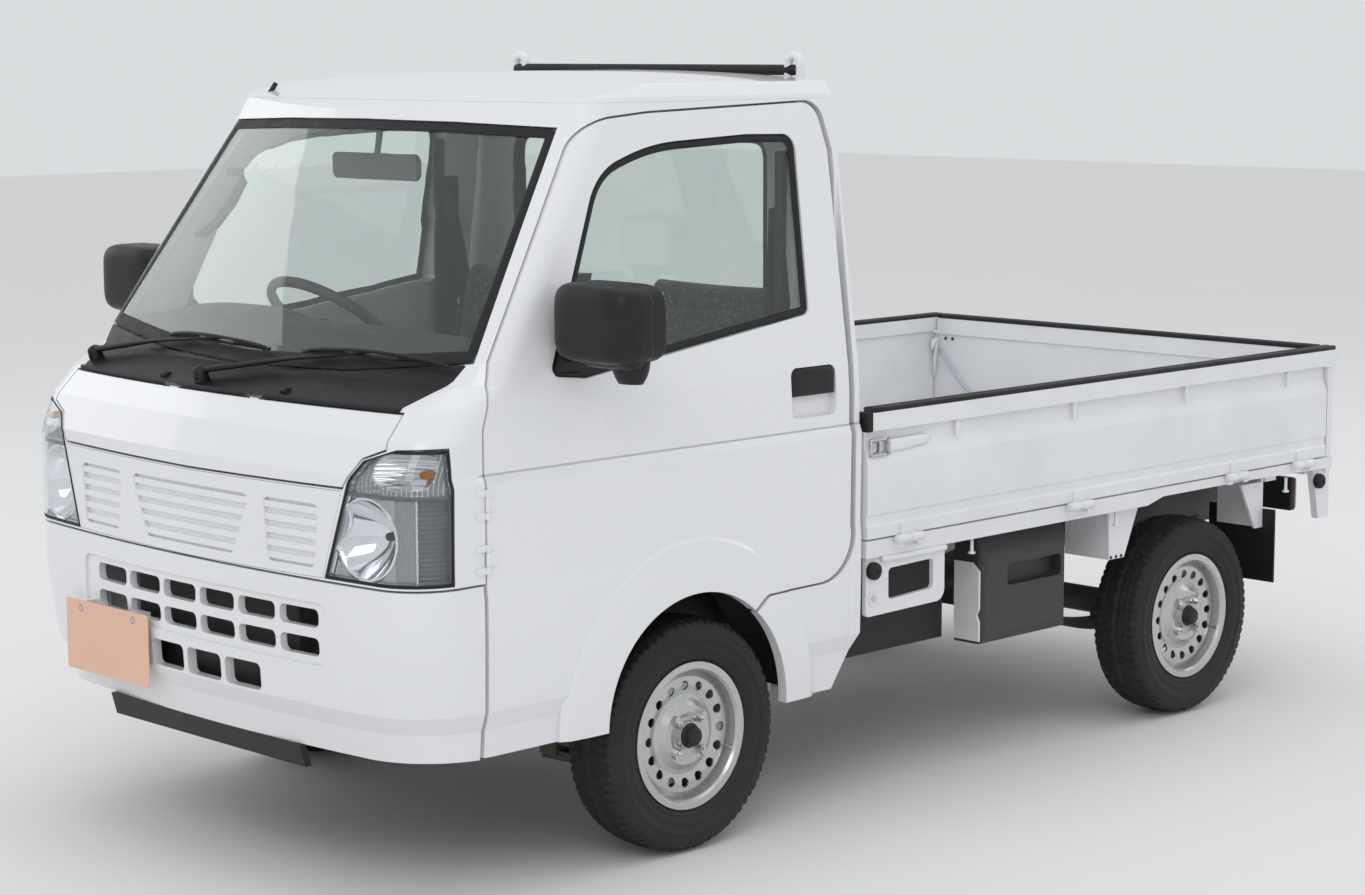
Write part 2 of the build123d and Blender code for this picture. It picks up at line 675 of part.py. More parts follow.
floor_thickness = 25
footwell_z = 470
deck_z = 640
riser_y = -1240
wheel_house_x = 400
wheel_house_wall = 15
wheel_house_rear_y = -465
wheel_house_low_z = 430
floor_front_y = -1522
floor_corner_x = 620
floor_corner_y = -1365
floor_profile = (
    (floor_front_y, footwell_z),
    (riser_y, footwell_z),
    (riser_y, deck_z),
    (cab_back_y - back_wall - 1, deck_z),
    (cab_back_y - back_wall - 1, deck_z + floor_thickness),
    (riser_y - floor_thickness, deck_z + floor_thickness),
    (riser_y - floor_thickness, footwell_z + floor_thickness),
    (floor_front_y, footwell_z + floor_thickness),
)
with BuildPart() as cab_floor:
    slab(Plane.YZ, floor_profile, -floor_half, floor_half)
    add(floor_form, mode=Mode.INTERSECT)
    for side in (1, -1):
        low_x, high_x = sorted((side * floor_corner_x, side * 800))
        bar((low_x, floor_front_y - 10, 0), (high_x, floor_corner_y, deck_z - 1), mode=Mode.SUBTRACT)
        inner_x = side * wheel_house_x
        outer_x = side * (wheel_house_x + wheel_house_wall)
        bar((min(inner_x, outer_x), riser_y, wheel_house_low_z), (max(inner_x, outer_x), wheel_house_rear_y, deck_z))
        left_x, right_x = sorted((inner_x, side * floor_half))
        bar((left_x, wheel_house_rear_y, wheel_house_low_z), (right_x, wheel_house_rear_y + wheel_house_wall, deck_z))
    rod(strut_point(strut_mount_z + seat_gap), strut_point(deck_z + floor_thickness / 2), strut_mount_radius)
    mirror(about=Plane.YZ)
write(cab_floor.part, "cab_floor")

steering_centre = (-335, -1010, 1130)
steering_tilt = 40
steering_radius = 180
steering_grip = 12
seam_turn = 33
steering_axis = (0, sin(radians(steering_tilt)), cos(radians(steering_tilt)))
column_radius = 22
column_foot_y = -1486
wheel_plane = Plane(origin=steering_centre, x_dir=(1, 0, 0), z_dir=steering_axis)
hub_depth = 30
column_top = wheel_plane.from_local_coords((0, 0, -hub_depth - seat_gap))
column_length = (column_top.Y - column_foot_y) / steering_axis[1]
column_foot = wheel_plane.from_local_coords((0, 0, -hub_depth - seat_gap - column_length))

dash_half = 600
dash_profile = (
    (-1530, 1040), (-1440, 1098), (-1290, 1088), (-1235, 1010), (-1262, 870), (-1330, 780), (-1530, 780),
)
dash_form = cab_block(side_wall + seat_gap, back_wall, roof_wall, room=True)
with BuildPart() as dashboard:
    slab(Plane.YZ, dash_profile, -dash_half, dash_half, (0, 0, 40, 30, 20, 20, 0))
    add(dash_form, mode=Mode.INTERSECT)
    rod(tuple(column_foot), tuple(column_top), column_radius + seat_gap, mode=Mode.SUBTRACT)
write(dashboard.part, "dashboard")

seat_centres = (-345, 345)
seat_width = 450
cushion_box = ((-1000, deck_z + floor_thickness + seat_gap), (-400, 832))
backrest_profile = ((-512, 832.3), (-434, 832.3), (-362, 1240), (-440, 1240))
seat_rounding = 30
with BuildPart() as seat_bases:
    for centre_x in seat_centres:
        bar((centre_x - seat_width / 2, cushion_box[0][0], cushion_box[0][1]),
            (centre_x + seat_width / 2, cushion_box[1][0], cushion_box[1][1]))
    fillet(seat_bases.edges().group_by(Axis.Z)[-1], seat_rounding)
write(seat_bases.part, "seat_bases")
with BuildPart() as seat_backs:
    for centre_x in seat_centres:
        slab(Plane.YZ, backrest_profile, centre_x - seat_width / 2, centre_x + seat_width / 2,
             (10, 10, 30, 30))
write(seat_backs.part, "seat_backs")

with BuildPart() as steering_wheel:
    with Locations(wheel_plane.rotated((0, 0, seam_turn))):
        Torus(steering_radius, steering_grip)
    with BuildSketch(wheel_plane.offset(-hub_depth)):
        Circle(45)
    extrude(amount=28)
    for angle in (0, 180, 270):
        turn = radians(angle)
        tip = wheel_plane.from_local_coords(
            (cos(turn) * (steering_radius - 4), sin(turn) * (steering_radius - 4), 0))
        hub = wheel_plane.from_local_coords((cos(turn) * 20, sin(turn) * 20, -16))
        rod(tuple(hub), tuple(tip), 9)
write(steering_wheel.part, "steering_wheel")

with BuildPart() as steering_column:
    rod(tuple(column_foot), tuple(column_top), column_radius)
write(steering_column.part, "steering_column")

rear_glass_thickness = 6
with BuildPart() as rear_window:
    with BuildSketch(Plane.XZ.offset(-cab_back_y + 14)):
        with Locations((0, (rear_window_low + rear_window_high) / 2)):
            RectangleRounded(2 * rear_window_half - 1, rear_window_high - rear_window_low - 1,
                             rear_window_radius - 0.5)
    extrude(amount=rear_glass_thickness)
write(rear_window.part, "rear_window")

# Wheels: tyre and pressed steel rim, made once round the origin and placed four times
tyre_radius = 268
tyre_width = 145
rim_seat_radius = 152
rim_lip_radius = 168
rim_half = 57
rim_outer_x = 62
rim_wall = 5
hole_ring_radius = 112
hole_count = 16
hole_radius = 11
bolt_ring_radius = 50
hub_radius = 32
spindle_radius = 22
hub_back_x = -38
hub_front_x = 25
tyre_profile = (
    (-54, tyre_radius - 6), (-30, tyre_radius), (30, tyre_radius), (54, tyre_radius - 6), (67, 254),
    (tyre_width / 2, 222), (70, 195), (54, rim_lip_radius + 1), (54, rim_seat_radius + seat_gap),
    (-49, rim_seat_radius + seat_gap), (-49, rim_lip_radius + 1), (-70, 195), (-tyre_width / 2, 222), (-67, 254),
)
with BuildPart() as tyre:
    with BuildSketch(Plane.XZ):
        with BuildLine():
            Polyline(*tyre_profile, close=True)
        make_face()
    revolve(axis=Axis.X)

# Disc of the rim from the barrel to the hub. Columns: X, radius
disc_front = ((30, 148), (40, 132), (42, 112), (34, 92), (38, 82), (50, 68), (50, 52), (44, 40), (44, 30))
with BuildPart() as rim:
    with BuildSketch(Plane.XZ):
        with BuildLine():
            Polyline(
                (-rim_half, rim_lip_radius), (-rim_half + 7, rim_lip_radius),
                (-rim_half + 8, rim_seat_radius), (rim_outer_x - 8, rim_seat_radius),
                (rim_outer_x - 7, rim_lip_radius), (rim_outer_x, rim_lip_radius),
                (rim_outer_x, rim_seat_radius), (rim_outer_x - 6, rim_seat_radius - rim_wall),
                (-rim_half + 6, rim_seat_radius - rim_wall), (-rim_half, rim_seat_radius), close=True,
            )
        make_face()
    with BuildSketch(Plane.XZ):
        with BuildLine():
            Polyline(*disc_front, *[(x - rim_wall, r) for x, r in reversed(disc_front)], close=True)
        make_face()
        with BuildLine():
            Polyline((hub_back_x, spindle_radius + running_gap), (hub_front_x + 12, spindle_radius + running_gap),
                     (hub_front_x + 12, 0), (60, 0), (60, 18), (56, 30), (44, 34), (40, 42), (hub_front_x, 42),
                     (hub_front_x, hub_radius), (hub_back_x, hub_radius), close=True)
        make_face()
    revolve(axis=Axis.X)
    with BuildSketch(Plane.YZ.offset(20)):
        with PolarLocations(hole_ring_radius, hole_count):
            Circle(hole_radius)
    extrude(amount=40, mode=Mode.SUBTRACT)
    with BuildSketch(Plane.YZ.offset(46)):
        with PolarLocations(bolt_ring_radius + 9, 4, 45):
            RegularPolygon(9, 6)
    extrude(amount=16)

wheel_places = (
    # name, side, axle Y, track
    ("front_left", 1, front_axle_y, front_track),
    ("front_right", -1, front_axle_y, front_track),
    ("rear_left", 1, rear_axle_y, rear_track),
    ("rear_right", -1, rear_axle_y, rear_track),
)
for name, side, axle_y, track in wheel_places:
    place = Pos(side * track / 2, axle_y, tyre_radius) * Rot(0, 0, 0 if side > 0 else 180)
    write(place * tyre.part, f"tyre_{name}")
    write(place * rim.part, f"rim_{name}")

# Front knuckles turn about a leaning strut axis
spindle_tip_x = front_track / 2 + hub_front_x + 10
with BuildPart() as knuckle:
    rod(strut_point(330), strut_point(560), 20)
    rod(strut_point(548), strut_point(strut_mount_z), 46)
    slab(Plane.XZ, ((548, 380), (585, 380), (606, 300), (608, 180), (590, 180), (570, 240)),
         -front_axle_y - 28, -front_axle_y + 28)
    rod((575, front_axle_y, tyre_radius), (spindle_tip_x, front_axle_y, tyre_radius), spindle_radius)
write(knuckle.part, "knuckle_left")
write(mirror(knuckle.part, about=Plane.YZ), "knuckle_right")

with BuildPart() as front_suspension:
    bar((-390, -900, 190), (390, -810, 250))
    for side in (1, -1):
        low_x, high_x = sorted((side * 330, side * 390))
        bar((low_x, -900, 250), (high_x, -810, 345 - seat_gap))
        foot_x, foot_y, foot_z = strut_point(178)
        rod((side * (foot_x + 2), foot_y, 165), (side * foot_x, foot_y, foot_z), 8)
    rod((-300, -760, 262), (300, -760, 262), 26)
    bar((-40, -810, 230), (40, -770, 250))
    for side in (1, -1):
        slab(Plane.XY, ((side * 260, -900), (side * 612, -872), (side * 612, -824), (side * 260, -810)),
             150, 172, 10)
        bar((min(side * 260, side * 320), -900, 160), (max(side * 260, side * 320), -810, 200))
write(front_suspension.part, "front_suspension")

rear_spindle_tip_x = rear_track / 2 + hub_front_x + 10
drum_face_x = rear_track / 2 + hub_back_x - 4
with BuildPart() as rear_axle:
    rod((-drum_face_x, rear_axle_y, tyre_radius), (drum_face_x, rear_axle_y, tyre_radius), 36)
    rod((-rear_spindle_tip_x, rear_axle_y, tyre_radius), (rear_spindle_tip_x, rear_axle_y, tyre_radius),
        spindle_radius)
    for side in (1, -1):
        rod((side * (drum_face_x - 50), rear_axle_y, tyre_radius), (side * drum_face_x, rear_axle_y, tyre_radius), 112)
        low_x, high_x = sorted((side * 400, side * 460))
        bar((low_x, rear_axle_y - 37, 231.2), (high_x, rear_axle_y + 37, 250))
    with Locations((0, rear_axle_y, tyre_radius)):
        Sphere(105)
write(rear_axle.part, "rear_axle")

# Chassis frame: two rails with a kick-up over the rear axle, and cross members
rail_inner_x = 330
rail_width = 60
rail_profile = (
    (-1560, 345), (-1100, 345), (-1000, 345), (-300, 345), (300, 360), (760, 440), (1300, 440),
    (1640, 430), (1640, 530), (1300, 545), (760, 545), (300, 460), (-300, 445), (-1560, 445),
)
cross_member_ys = (-1530, -1130, 330, 760, 1400, 1600)
cross_member_zs = (360, 360, 395, 470, 470, 460)
bumper_stay_form = cab_block(bumper_skin + seat_gap, back_wall, roof_wall)
mirrored_brackets = (
    # near X, far X, (low Y, low Z), (high Y, high Z)
    (332, 388, (-1500, 440), (-1440, footwell_z - seat_gap)),
    (332, 388, (-334, 430), (-302, footwell_z - seat_gap)),
    (388, 400 - seat_gap, (545, 390), (575, 430)),
    (388, 400 - seat_gap, (1510, 392), (1540, 450)),
    (230 + seat_gap, 332, (-480, 380), (-440, 420)),
    (180, 220, (-1583 + seat_gap, 370), (-1558, 410)),
)
single_brackets = (
    # low X, high X, (low Y, low Z), (high Y, high Z)
    (-400 + seat_gap, -388, (150, 390), (190, 430)),
    (-400 + seat_gap, -388, (440, 400), (480, 440)),
    (388, 600 - seat_gap, (250, 390), (290, 430)),
    (388, 600 - seat_gap, (450, 400), (490, 440)),
    (-210, -190, (1390, 405.5), (1410, 472)),
)
with BuildPart() as chassis_frame:
    for side in (1, -1):
        low_x, high_x = sorted((side * rail_inner_x, side * (rail_inner_x + rail_width)))
        bar((low_x, -1660, 385), (high_x, -1555, 445))
    add(bumper_stay_form, mode=Mode.INTERSECT)
    for side in (1, -1):
        start = rail_inner_x if side > 0 else -rail_inner_x - rail_width
        slab(Plane.YZ, rail_profile, start, start + rail_width)
    for member_y, member_z in zip(cross_member_ys, cross_member_zs):
        bar((-rail_inner_x, member_y - 30, member_z), (rail_inner_x, member_y + 30, member_z + 60))
    for near_x, far_x, low, high in mirrored_brackets:
        bar((near_x, *low), (far_x, *high))
        bar((-far_x, *low), (-near_x, *high))
    for low_x, high_x, low, high in single_brackets:
        bar((low_x, *low), (high_x, *high))
write(chassis_frame.part, "chassis_frame")

spring_x = 430
spring_width = 60
with BuildPart() as leaf_springs:
    for side in (1, -1):
        start = side * spring_x - spring_width / 2
        with BuildSketch(Plane.YZ.offset(start)):
            with BuildLine():
                ThreePointArc((560, 400), (rear_axle_y, tyre_radius - 64), (1540, 400))
                Line((1540, 400), (1540, 412))
                ThreePointArc((1540, 412), (rear_axle_y, tyre_radius - 38), (560, 412))
                Line((560, 412), (560, 400))
            make_face()
        extrude(amount=spring_width)
write(leaf_springs.part, "leaf_springs")

with BuildPart() as engine_block:
    bar((-230, -690, 240), (230, -200, 590))
write(engine_block.part, "engine_block")

with BuildPart() as driveline:
    bar((-120, -200 + seat_gap, 250), (120, 140, 470))
    rod((0, 140, 340), (0, rear_axle_y - 105.5, tyre_radius), 32)
write(driveline.part, "driveline")

with BuildPart() as fuel_tank:
    bar((-640, 90, 300), (-400, 540, 570))
    fillet(fuel_tank.edges(), 25)
write(fuel_tank.part, "fuel_tank")

cover_inner_x = 600
cover_outer_x = 690
cover_ys = (198, 542)
cover_profile = ((cover_inner_x, 314), (682, 314), (cover_outer_x, 335), (cover_outer_x, 538), (664, 592),
                 (cover_inner_x, 592))
cover_plan = ((cover_inner_x, cover_ys[0]), (cover_outer_x, cover_ys[0]), (cover_outer_x, cover_ys[1]),
              (cover_inner_x, cover_ys[1]))
cover_window = ((297, 452), (513, 452), (513, 507), (297, 507))
with BuildPart() as battery_cover:
    slab(Plane.XZ, cover_profile, -cover_ys[1], -cover_ys[0], (0, 5, 8, 18, 18, 0))
    slab(Plane.XY, cover_plan, 0, 1000, (0, 22, 22, 0), mode=Mode.INTERSECT)
    slab(Plane.YZ, cover_window, cover_outer_x - 30, cover_outer_x + 10, 12, mode=Mode.SUBTRACT)
write(battery_cover.part, "battery_cover")

# Pressed plate ahead of the battery cover, black shield under the bed's front and liners over the front wheels
plate_bracket = ((604, 322), (684, 322), (684, 372), (676, 388), (684, 404), (684, 500), (660, 520), (604, 520))
shield_xs = (596, 600)
liner_radii = (306, 309)
liner_xs = (565, 704)
liner_low_z = 330
liner_ties = (
    # start Y, end Y, bottom Z
    (-563, wheel_house_rear_y - seat_gap, 436),
    (riser_y + seat_gap, -1087, 496),
)
with BuildPart() as splash_shields:
    bar((shield_xs[0], -284, 330), (shield_xs[1], 150, 590))
    bar((rail_inner_x + rail_width + seat_gap, -100, 380), (shield_xs[0], -60, 420))
    with BuildSketch(Plane.YZ.offset(liner_xs[0])):
        with Locations((arch_y, arch_z)):
            Circle(liner_radii[1])
            Circle(liner_radii[0], mode=Mode.SUBTRACT)
    extrude(amount=liner_xs[1] - liner_xs[0])
    bar((liner_xs[0] - 1, -1300, -200), (liner_xs[1] + 1, -500, liner_low_z), mode=Mode.SUBTRACT)
    for start_y, end_y, tie_z in liner_ties:
        bar((600, start_y, tie_z), (640, end_y, tie_z + 8))
with BuildPart() as splash_liner_right:
    add(splash_shields.part)
    bar((0, -1300, 0), (800, -400, 800), mode=Mode.INTERSECT)
    mirror(about=Plane.YZ)
    bar((0, -1300, 0), (800, -400, 800), mode=Mode.SUBTRACT)
with BuildPart() as splash_pieces:
    add(splash_shields.part)
    add(splash_liner_right.part)
write(splash_pieces.part, "splash_shields")
with BuildPart() as battery_bracket:
    slab(Plane.XZ, plate_bracket, -cover_ys[0] + seat_gap, -cover_ys[0] + seat_gap + 6)
write(battery_bracket.part, "battery_bracket")

exhaust_line = ((-200, -200 + seat_gap, 345), (-200, 720, 345), (-200, 900, 372), (-200, 1170, 372))
with BuildPart() as exhaust:
    for start, end in zip(exhaust_line, exhaust_line[1:]):
        rod(start, end, 22)
        with Locations(end):
            Sphere(22)
    rod((-200, 1160, 330), (-200, 1500, 330), 75)
    rod((-200, 1490, 330), (-200, 1570, 330), 22)
write(exhaust.part, "exhaust")

# Bed: floor, sills, hinge ears, front corner panels, rear posts
bed_front_y = -286
bed_rear_y = 1650
bed_floor_z = 650
bed_inner_half = 706
sill_outer_x = 735
sill_top_z = 641
sill_low_z = 600
gate_outer_x = half_width
gate_inner_x = 712
gate_low_z = sill_top_z + panel_gap
gate_rail_low_z = 903
gate_rail_high_z = 946
gate_rail_inner_x = 702
gate_rail_outer_x = 741
hinge_pin_radius = 5
hinge_tube_radius = 9
side_pin_x = gate_outer_x + hinge_tube_radius
pin_z = sill_top_z - 5
tail_pin_y = tail_y - hinge_tube_radius - 1
tail_outer_y = tail_pin_y - hinge_tube_radius
tail_inner_y = bed_rear_y + panel_gap
side_hinge_ys = (-144, 519, 1210, 1529)
tail_hinge_xs = (-520, 0, 520)
hinge_leaf_half = 25
hinge_ear_length = 20

with BuildPart() as bed_floor:
    bar((-bed_inner_half, -262, bed_floor_z - 9), (bed_inner_half, bed_rear_y, bed_floor_z - 3))
    for rib in range(9):
        rib_x = (rib - 4) * 150
        bar((rib_x - 45, -240, bed_floor_z - 3), (rib_x + 45, bed_rear_y - 20, bed_floor_z + 3))
write(bed_floor.part, "bed_floor")

sill_profile = (
    (bed_front_y, sill_low_z), (820, sill_low_z), (890, sill_low_z + 17), (1290, sill_low_z + 17),
    (1689, sill_low_z + 9), (1689, sill_top_z), (bed_front_y, sill_top_z),
)
bed_member_low_z = 596
bed_cross_ys = (-240, 40, 320, 680, 1430, 1620)
corner_panel = ((bed_front_y + 8, 457), (8, 462), (8, sill_low_z), (bed_front_y + 8, sill_low_z))
corner_window = ((-198, 489), (-34, 497), (-34, 570), (-198, 566))
rear_post = ((1607, 612), (1689, 612), (1689, 468), (1638, 468))
bed_sill_profile = (
    (-262, 446 + seat_gap), (300, 460 + seat_gap), (760, 545 + seat_gap), (1300, 545 + seat_gap),
    (1630, 530.5 + seat_gap), (1630, bed_member_low_z - seat_gap), (-262, bed_member_low_z - seat_gap),
)
with BuildPart() as bed_underframe:
    for side in (1, -1):
        start = bed_inner_half if side > 0 else -sill_outer_x
        slab(Plane.YZ, sill_profile, start, start + sill_outer_x - bed_inner_half)
        panel_start = 715 if side > 0 else -727
        slab(Plane.YZ, corner_panel, panel_start, panel_start + 12, (10, 30, 0, 0))
        slab(Plane.YZ, corner_window, panel_start, panel_start + 12, 12, mode=Mode.SUBTRACT)
        slab(Plane.YZ, rear_post, panel_start - 9 * (side > 0), panel_start + 12 + 9 * (side < 0))
        for hinge_y in side_hinge_ys:
            for ear in (-1, 1):
                near = hinge_y + ear * (hinge_leaf_half + 1)
                far = near + ear * hinge_ear_length
                rod((side * side_pin_x, near, pin_z), (side * side_pin_x, far, pin_z), hinge_tube_radius)
                low_x, high_x = sorted((side * (sill_outer_x - 4), side * (side_pin_x + 4)))
                low_y, high_y = sorted((near, far))
                bar((low_x, low_y, pin_z - 18), (high_x, high_y, pin_z - 4))
            rod((side * side_pin_x, hinge_y - hinge_leaf_half - 2, pin_z),
                (side * side_pin_x, hinge_y + hinge_leaf_half + 2, pin_z), hinge_pin_radius)
    bar((-sill_outer_x, 1657, 600), (sill_outer_x, tail_outer_y, sill_top_z))
    for side in (1, -1):
        low_x, high_x = sorted((side * 540, side * 580))
        bar((low_x, 1646, 575 + seat_gap), (high_x, 1660, bed_member_low_z + 5))
    for hinge_x in tail_hinge_xs:
        for ear in (-1, 1):
            near = hinge_x + ear * (hinge_leaf_half + 1)
            far = near + ear * hinge_ear_length
            rod((near, tail_pin_y, pin_z), (far, tail_pin_y, pin_z), hinge_tube_radius)
            low_x, high_x = sorted((near, far))
            bar((low_x, tail_outer_y - 4, pin_z - 18), (high_x, tail_pin_y + 4, pin_z - 4))
        rod((hinge_x - hinge_leaf_half - 2, tail_pin_y, pin_z),
            (hinge_x + hinge_leaf_half + 2, tail_pin_y, pin_z), hinge_pin_radius)
write(bed_underframe.part, "bed_underframe")

with BuildPart() as bed_cross_members:
    for side in (1, -1):
        low_x, high_x = sorted((side * 332, side * 388))
        slab(Plane.YZ, bed_sill_profile, low_x, high_x)
    for member_y in bed_cross_ys:
        bar((seat_gap - bed_inner_half, member_y - 25, bed_member_low_z),
            (bed_inner_half - seat_gap, member_y + 25, bed_floor_z - 9 - seat_gap))
write(bed_cross_members.part, "bed_cross_members")

# Side gate section. Columns: X, Z
gate_skin = (
    (gate_inner_x, gate_low_z), (gate_outer_x, gate_low_z), (gate_outer_x, 674), (734, 680), (734, 698),
    (gate_outer_x, 704), (gate_outer_x, 828), (724, 868), (724, gate_rail_low_z - seat_gap),
    (gate_inner_x, gate_rail_low_z - seat_gap),
)
rail_section = (
    (gate_rail_inner_x, gate_rail_low_z), (gate_rail_outer_x, gate_rail_low_z),
    (gate_rail_outer_x, gate_rail_high_z), (gate_rail_inner_x, gate_rail_high_z),
)
hook_ys = (43, 503, 983, 1461)
with BuildPart() as side_gate:
    slab(Plane.XZ, gate_skin, -bed_rear_y, -bed_front_y)
    slab(Plane.XZ, rail_section, -tail_y, -bed_front_y)
    for hinge_y in side_hinge_ys:
        bar((gate_outer_x, hinge_y - hinge_leaf_half, pin_z), (gate_outer_x + 5, hinge_y + hinge_leaf_half, 674))
        rod((side_pin_x, hinge_y - hinge_leaf_half, pin_z), (side_pin_x, hinge_y + hinge_leaf_half, pin_z),
            hinge_tube_radius)
        rod((side_pin_x, hinge_y - hinge_leaf_half, pin_z), (side_pin_x, hinge_y + hinge_leaf_half, pin_z),
            hinge_pin_radius + running_gap, mode=Mode.SUBTRACT)
    for hook_y in hook_ys:
        rod((734, hook_y, 860), (734, hook_y, gate_rail_low_z), 5)
write(side_gate.part, "side_gate_left")
write(mirror(side_gate.part, about=Plane.YZ), "side_gate_right")

tail_rail_half = gate_rail_inner_x - 7
tail_corner_z = gate_rail_low_z - 8
tail_skin = (
    (tail_inner_y, gate_low_z), (tail_outer_y, gate_low_z), (tail_outer_y, tail_corner_z), (tail_inner_y, tail_corner_z),
)
with BuildPart() as tailgate:
    slab(Plane.YZ, tail_skin, -gate_outer_x, gate_outer_x)
    slab(Plane.YZ, ((tail_inner_y - 8, tail_corner_z + seat_gap), (tail_outer_y + 4, tail_corner_z + seat_gap),
                    (tail_outer_y + 4, gate_rail_high_z), (tail_inner_y - 8, gate_rail_high_z)),
         -tail_rail_half, tail_rail_half)
    for hinge_x in tail_hinge_xs:
        bar((hinge_x - hinge_leaf_half, tail_outer_y, pin_z), (hinge_x + hinge_leaf_half, tail_outer_y + 5, 674))
        rod((hinge_x - hinge_leaf_half, tail_pin_y, pin_z), (hinge_x + hinge_leaf_half, tail_pin_y, pin_z),
            hinge_tube_radius)
        rod((hinge_x - hinge_leaf_half, tail_pin_y, pin_z), (hinge_x + hinge_leaf_half, tail_pin_y, pin_z),
            hinge_pin_radius + running_gap, mode=Mode.SUBTRACT)
write(tailgate.part, "tailgate")

# Headboard with its guard frame behind the cab
headboard_back_y = -262
guard_x = 507
guard_loop = 38
guard_y = -274
guard_radius = 11
guard_top_z = 1757
guard_bar_zs = (1100, 1640, 1741)
with BuildPart() as headboard:
    bar((-bed_inner_half + 6, bed_front_y, bed_floor_z - 9), (bed_inner_half - 6, headboard_back_y, 930))
    for side in (1, -1):
        rod((side * guard_x, guard_y, 800), (side * guard_x, guard_y, guard_top_z), guard_radius)
        rod((side * (guard_x - guard_loop), guard_y, 1600), (side * (guard_x - guard_loop), guard_y, guard_top_z), guard_radius)
        with BuildLine() as hoop:
            ThreePointArc((side * guard_x, guard_y, guard_top_z),
                          (side * (guard_x - guard_loop / 2), guard_y, guard_top_z + guard_loop / 2),
                          (side * (guard_x - guard_loop), guard_y, guard_top_z))
        with BuildSketch(Plane.XY.offset(guard_top_z)):
            with Locations((side * guard_x, guard_y)):
                Circle(guard_radius)
        sweep(path=hoop.wires()[0])
    for bar_z in guard_bar_zs:
        rod((-guard_x, guard_y, bar_z), (guard_x, guard_y, bar_z), guard_radius)
write(headboard.part, "headboard")

with BuildPart() as antenna:
    rod((-560, -1046, 1668), (-560, -1010, 1712), 6)
    rod((-560, -1050, 1660), (-560, -1050, 1684), 16)
    add(cab_outer, mode=Mode.SUBTRACT)
write(antenna.part, "antenna")

with BuildPart() as tail_lamps:
    for side in (1, -1):
        low_x, high_x = sorted((side * 480, side * 640))
        bar((low_x, 1630, 480), (high_x, 1672, 575))
write(tail_lamps.part, "tail_lamps")

with BuildPart() as mud_flaps:
    for side in (1, -1):
        low_x, high_x = sorted((side * 520, side * 737))
        bar((low_x, 1405, 316), (high_x, 1411, 520))
write(mud_flaps.part, "mud_flaps")

with BuildPart() as rear_fenders:
    for side in (1, -1):
        start = 690 if side > 0 else -698
        slab(Plane.YZ, ((706, 465), (770, 465), (830, bed_member_low_z), (700, bed_member_low_z)), start, start + 8)
        low_x, high_x = sorted((side * 553, side * 698))
        bar((low_x, 705 + seat_gap, 465), (high_x, 713, 625))
        slab(Plane.YZ, ((1370, 468), (1404, 468), (1404, bed_member_low_z), (1299, bed_member_low_z)), start, start + 8)
        bar((low_x, 1396, 468), (high_x, 1405 - seat_gap, 625))
write(rear_fenders.part, "rear_fenders")
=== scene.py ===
import math

import bmesh
import bpy
import numpy as np
from bpy.props import FloatProperty, FloatVectorProperty, PointerProperty
from mathutils import Matrix, Vector


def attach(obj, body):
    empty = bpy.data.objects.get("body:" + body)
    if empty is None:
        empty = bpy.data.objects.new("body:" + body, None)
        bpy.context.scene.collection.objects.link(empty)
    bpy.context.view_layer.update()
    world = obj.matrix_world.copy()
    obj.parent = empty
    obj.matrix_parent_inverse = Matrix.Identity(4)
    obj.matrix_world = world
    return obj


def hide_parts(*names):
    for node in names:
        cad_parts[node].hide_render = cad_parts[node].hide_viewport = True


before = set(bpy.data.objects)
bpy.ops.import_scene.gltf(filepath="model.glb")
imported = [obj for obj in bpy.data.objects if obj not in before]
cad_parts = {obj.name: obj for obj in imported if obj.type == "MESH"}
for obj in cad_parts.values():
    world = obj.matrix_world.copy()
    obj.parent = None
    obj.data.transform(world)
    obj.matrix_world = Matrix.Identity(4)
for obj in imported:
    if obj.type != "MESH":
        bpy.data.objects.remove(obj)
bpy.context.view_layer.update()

bl_info = {
    "name": "Small drop-side truck",
    "version": (1, 0, 0),
    "blender": (4, 5, 0),
    "location": "View3D > Sidebar > Truck",
    "description": "Dresses the packed model of a small cab-over truck with a drop-side bed",
    "category": "Add Mesh",
}

SIDES = ((1, "left"), (-1, "right"))
WHEEL_RADIUS = 0.268
WHEELS = (
    # name, side, axle Y, half track
    ("front_left", 1, -0.848, 0.6525),
    ("front_right", -1, -0.848, 0.6525),
    ("rear_left", 1, 1.057, 0.645),
    ("rear_right", -1, 1.057, 0.645),
)
# The record's slot of each finish whose slot has another name
FINISH_SLOTS = {
    "black_rubber": "rubber", "bright_steel": "galvanised", "stay_wire": "galvanised", "bed_paint": "body_paint",
    "seat_cloth": "seat_fabric", "belt_webbing": "seat_fabric", "tyre_rubber": "tyre", "amber_lens": "lens",
    "clear_plastic": "lens", "lamp_reflector": "lamp_bowl", "mirror_face": "lamp_bowl",
}


# ---- shapes ----
def grid_faces(rows, columns, wrap_rows=False, wrap_columns=False):
    """Quads of a grid of points numbered row by row, joined round where a direction wraps."""
    last_row = rows if wrap_rows else rows - 1
    last_column = columns if wrap_columns else columns - 1
    r, c = np.meshgrid(np.arange(last_row), np.arange(last_column), indexing="ij")
    r, c = r.ravel(), c.ravel()
    r_next, c_next = (r + 1) % rows, (c + 1) % columns
    return np.stack([r * columns + c, r * columns + c_next, r_next * columns + c_next, r_next * columns + c], 1)


def xyz(x, y, z):
    """Points from their three coordinates, each an array or one value for all."""
    return np.stack(np.broadcast_arrays(x, y, z), -1)


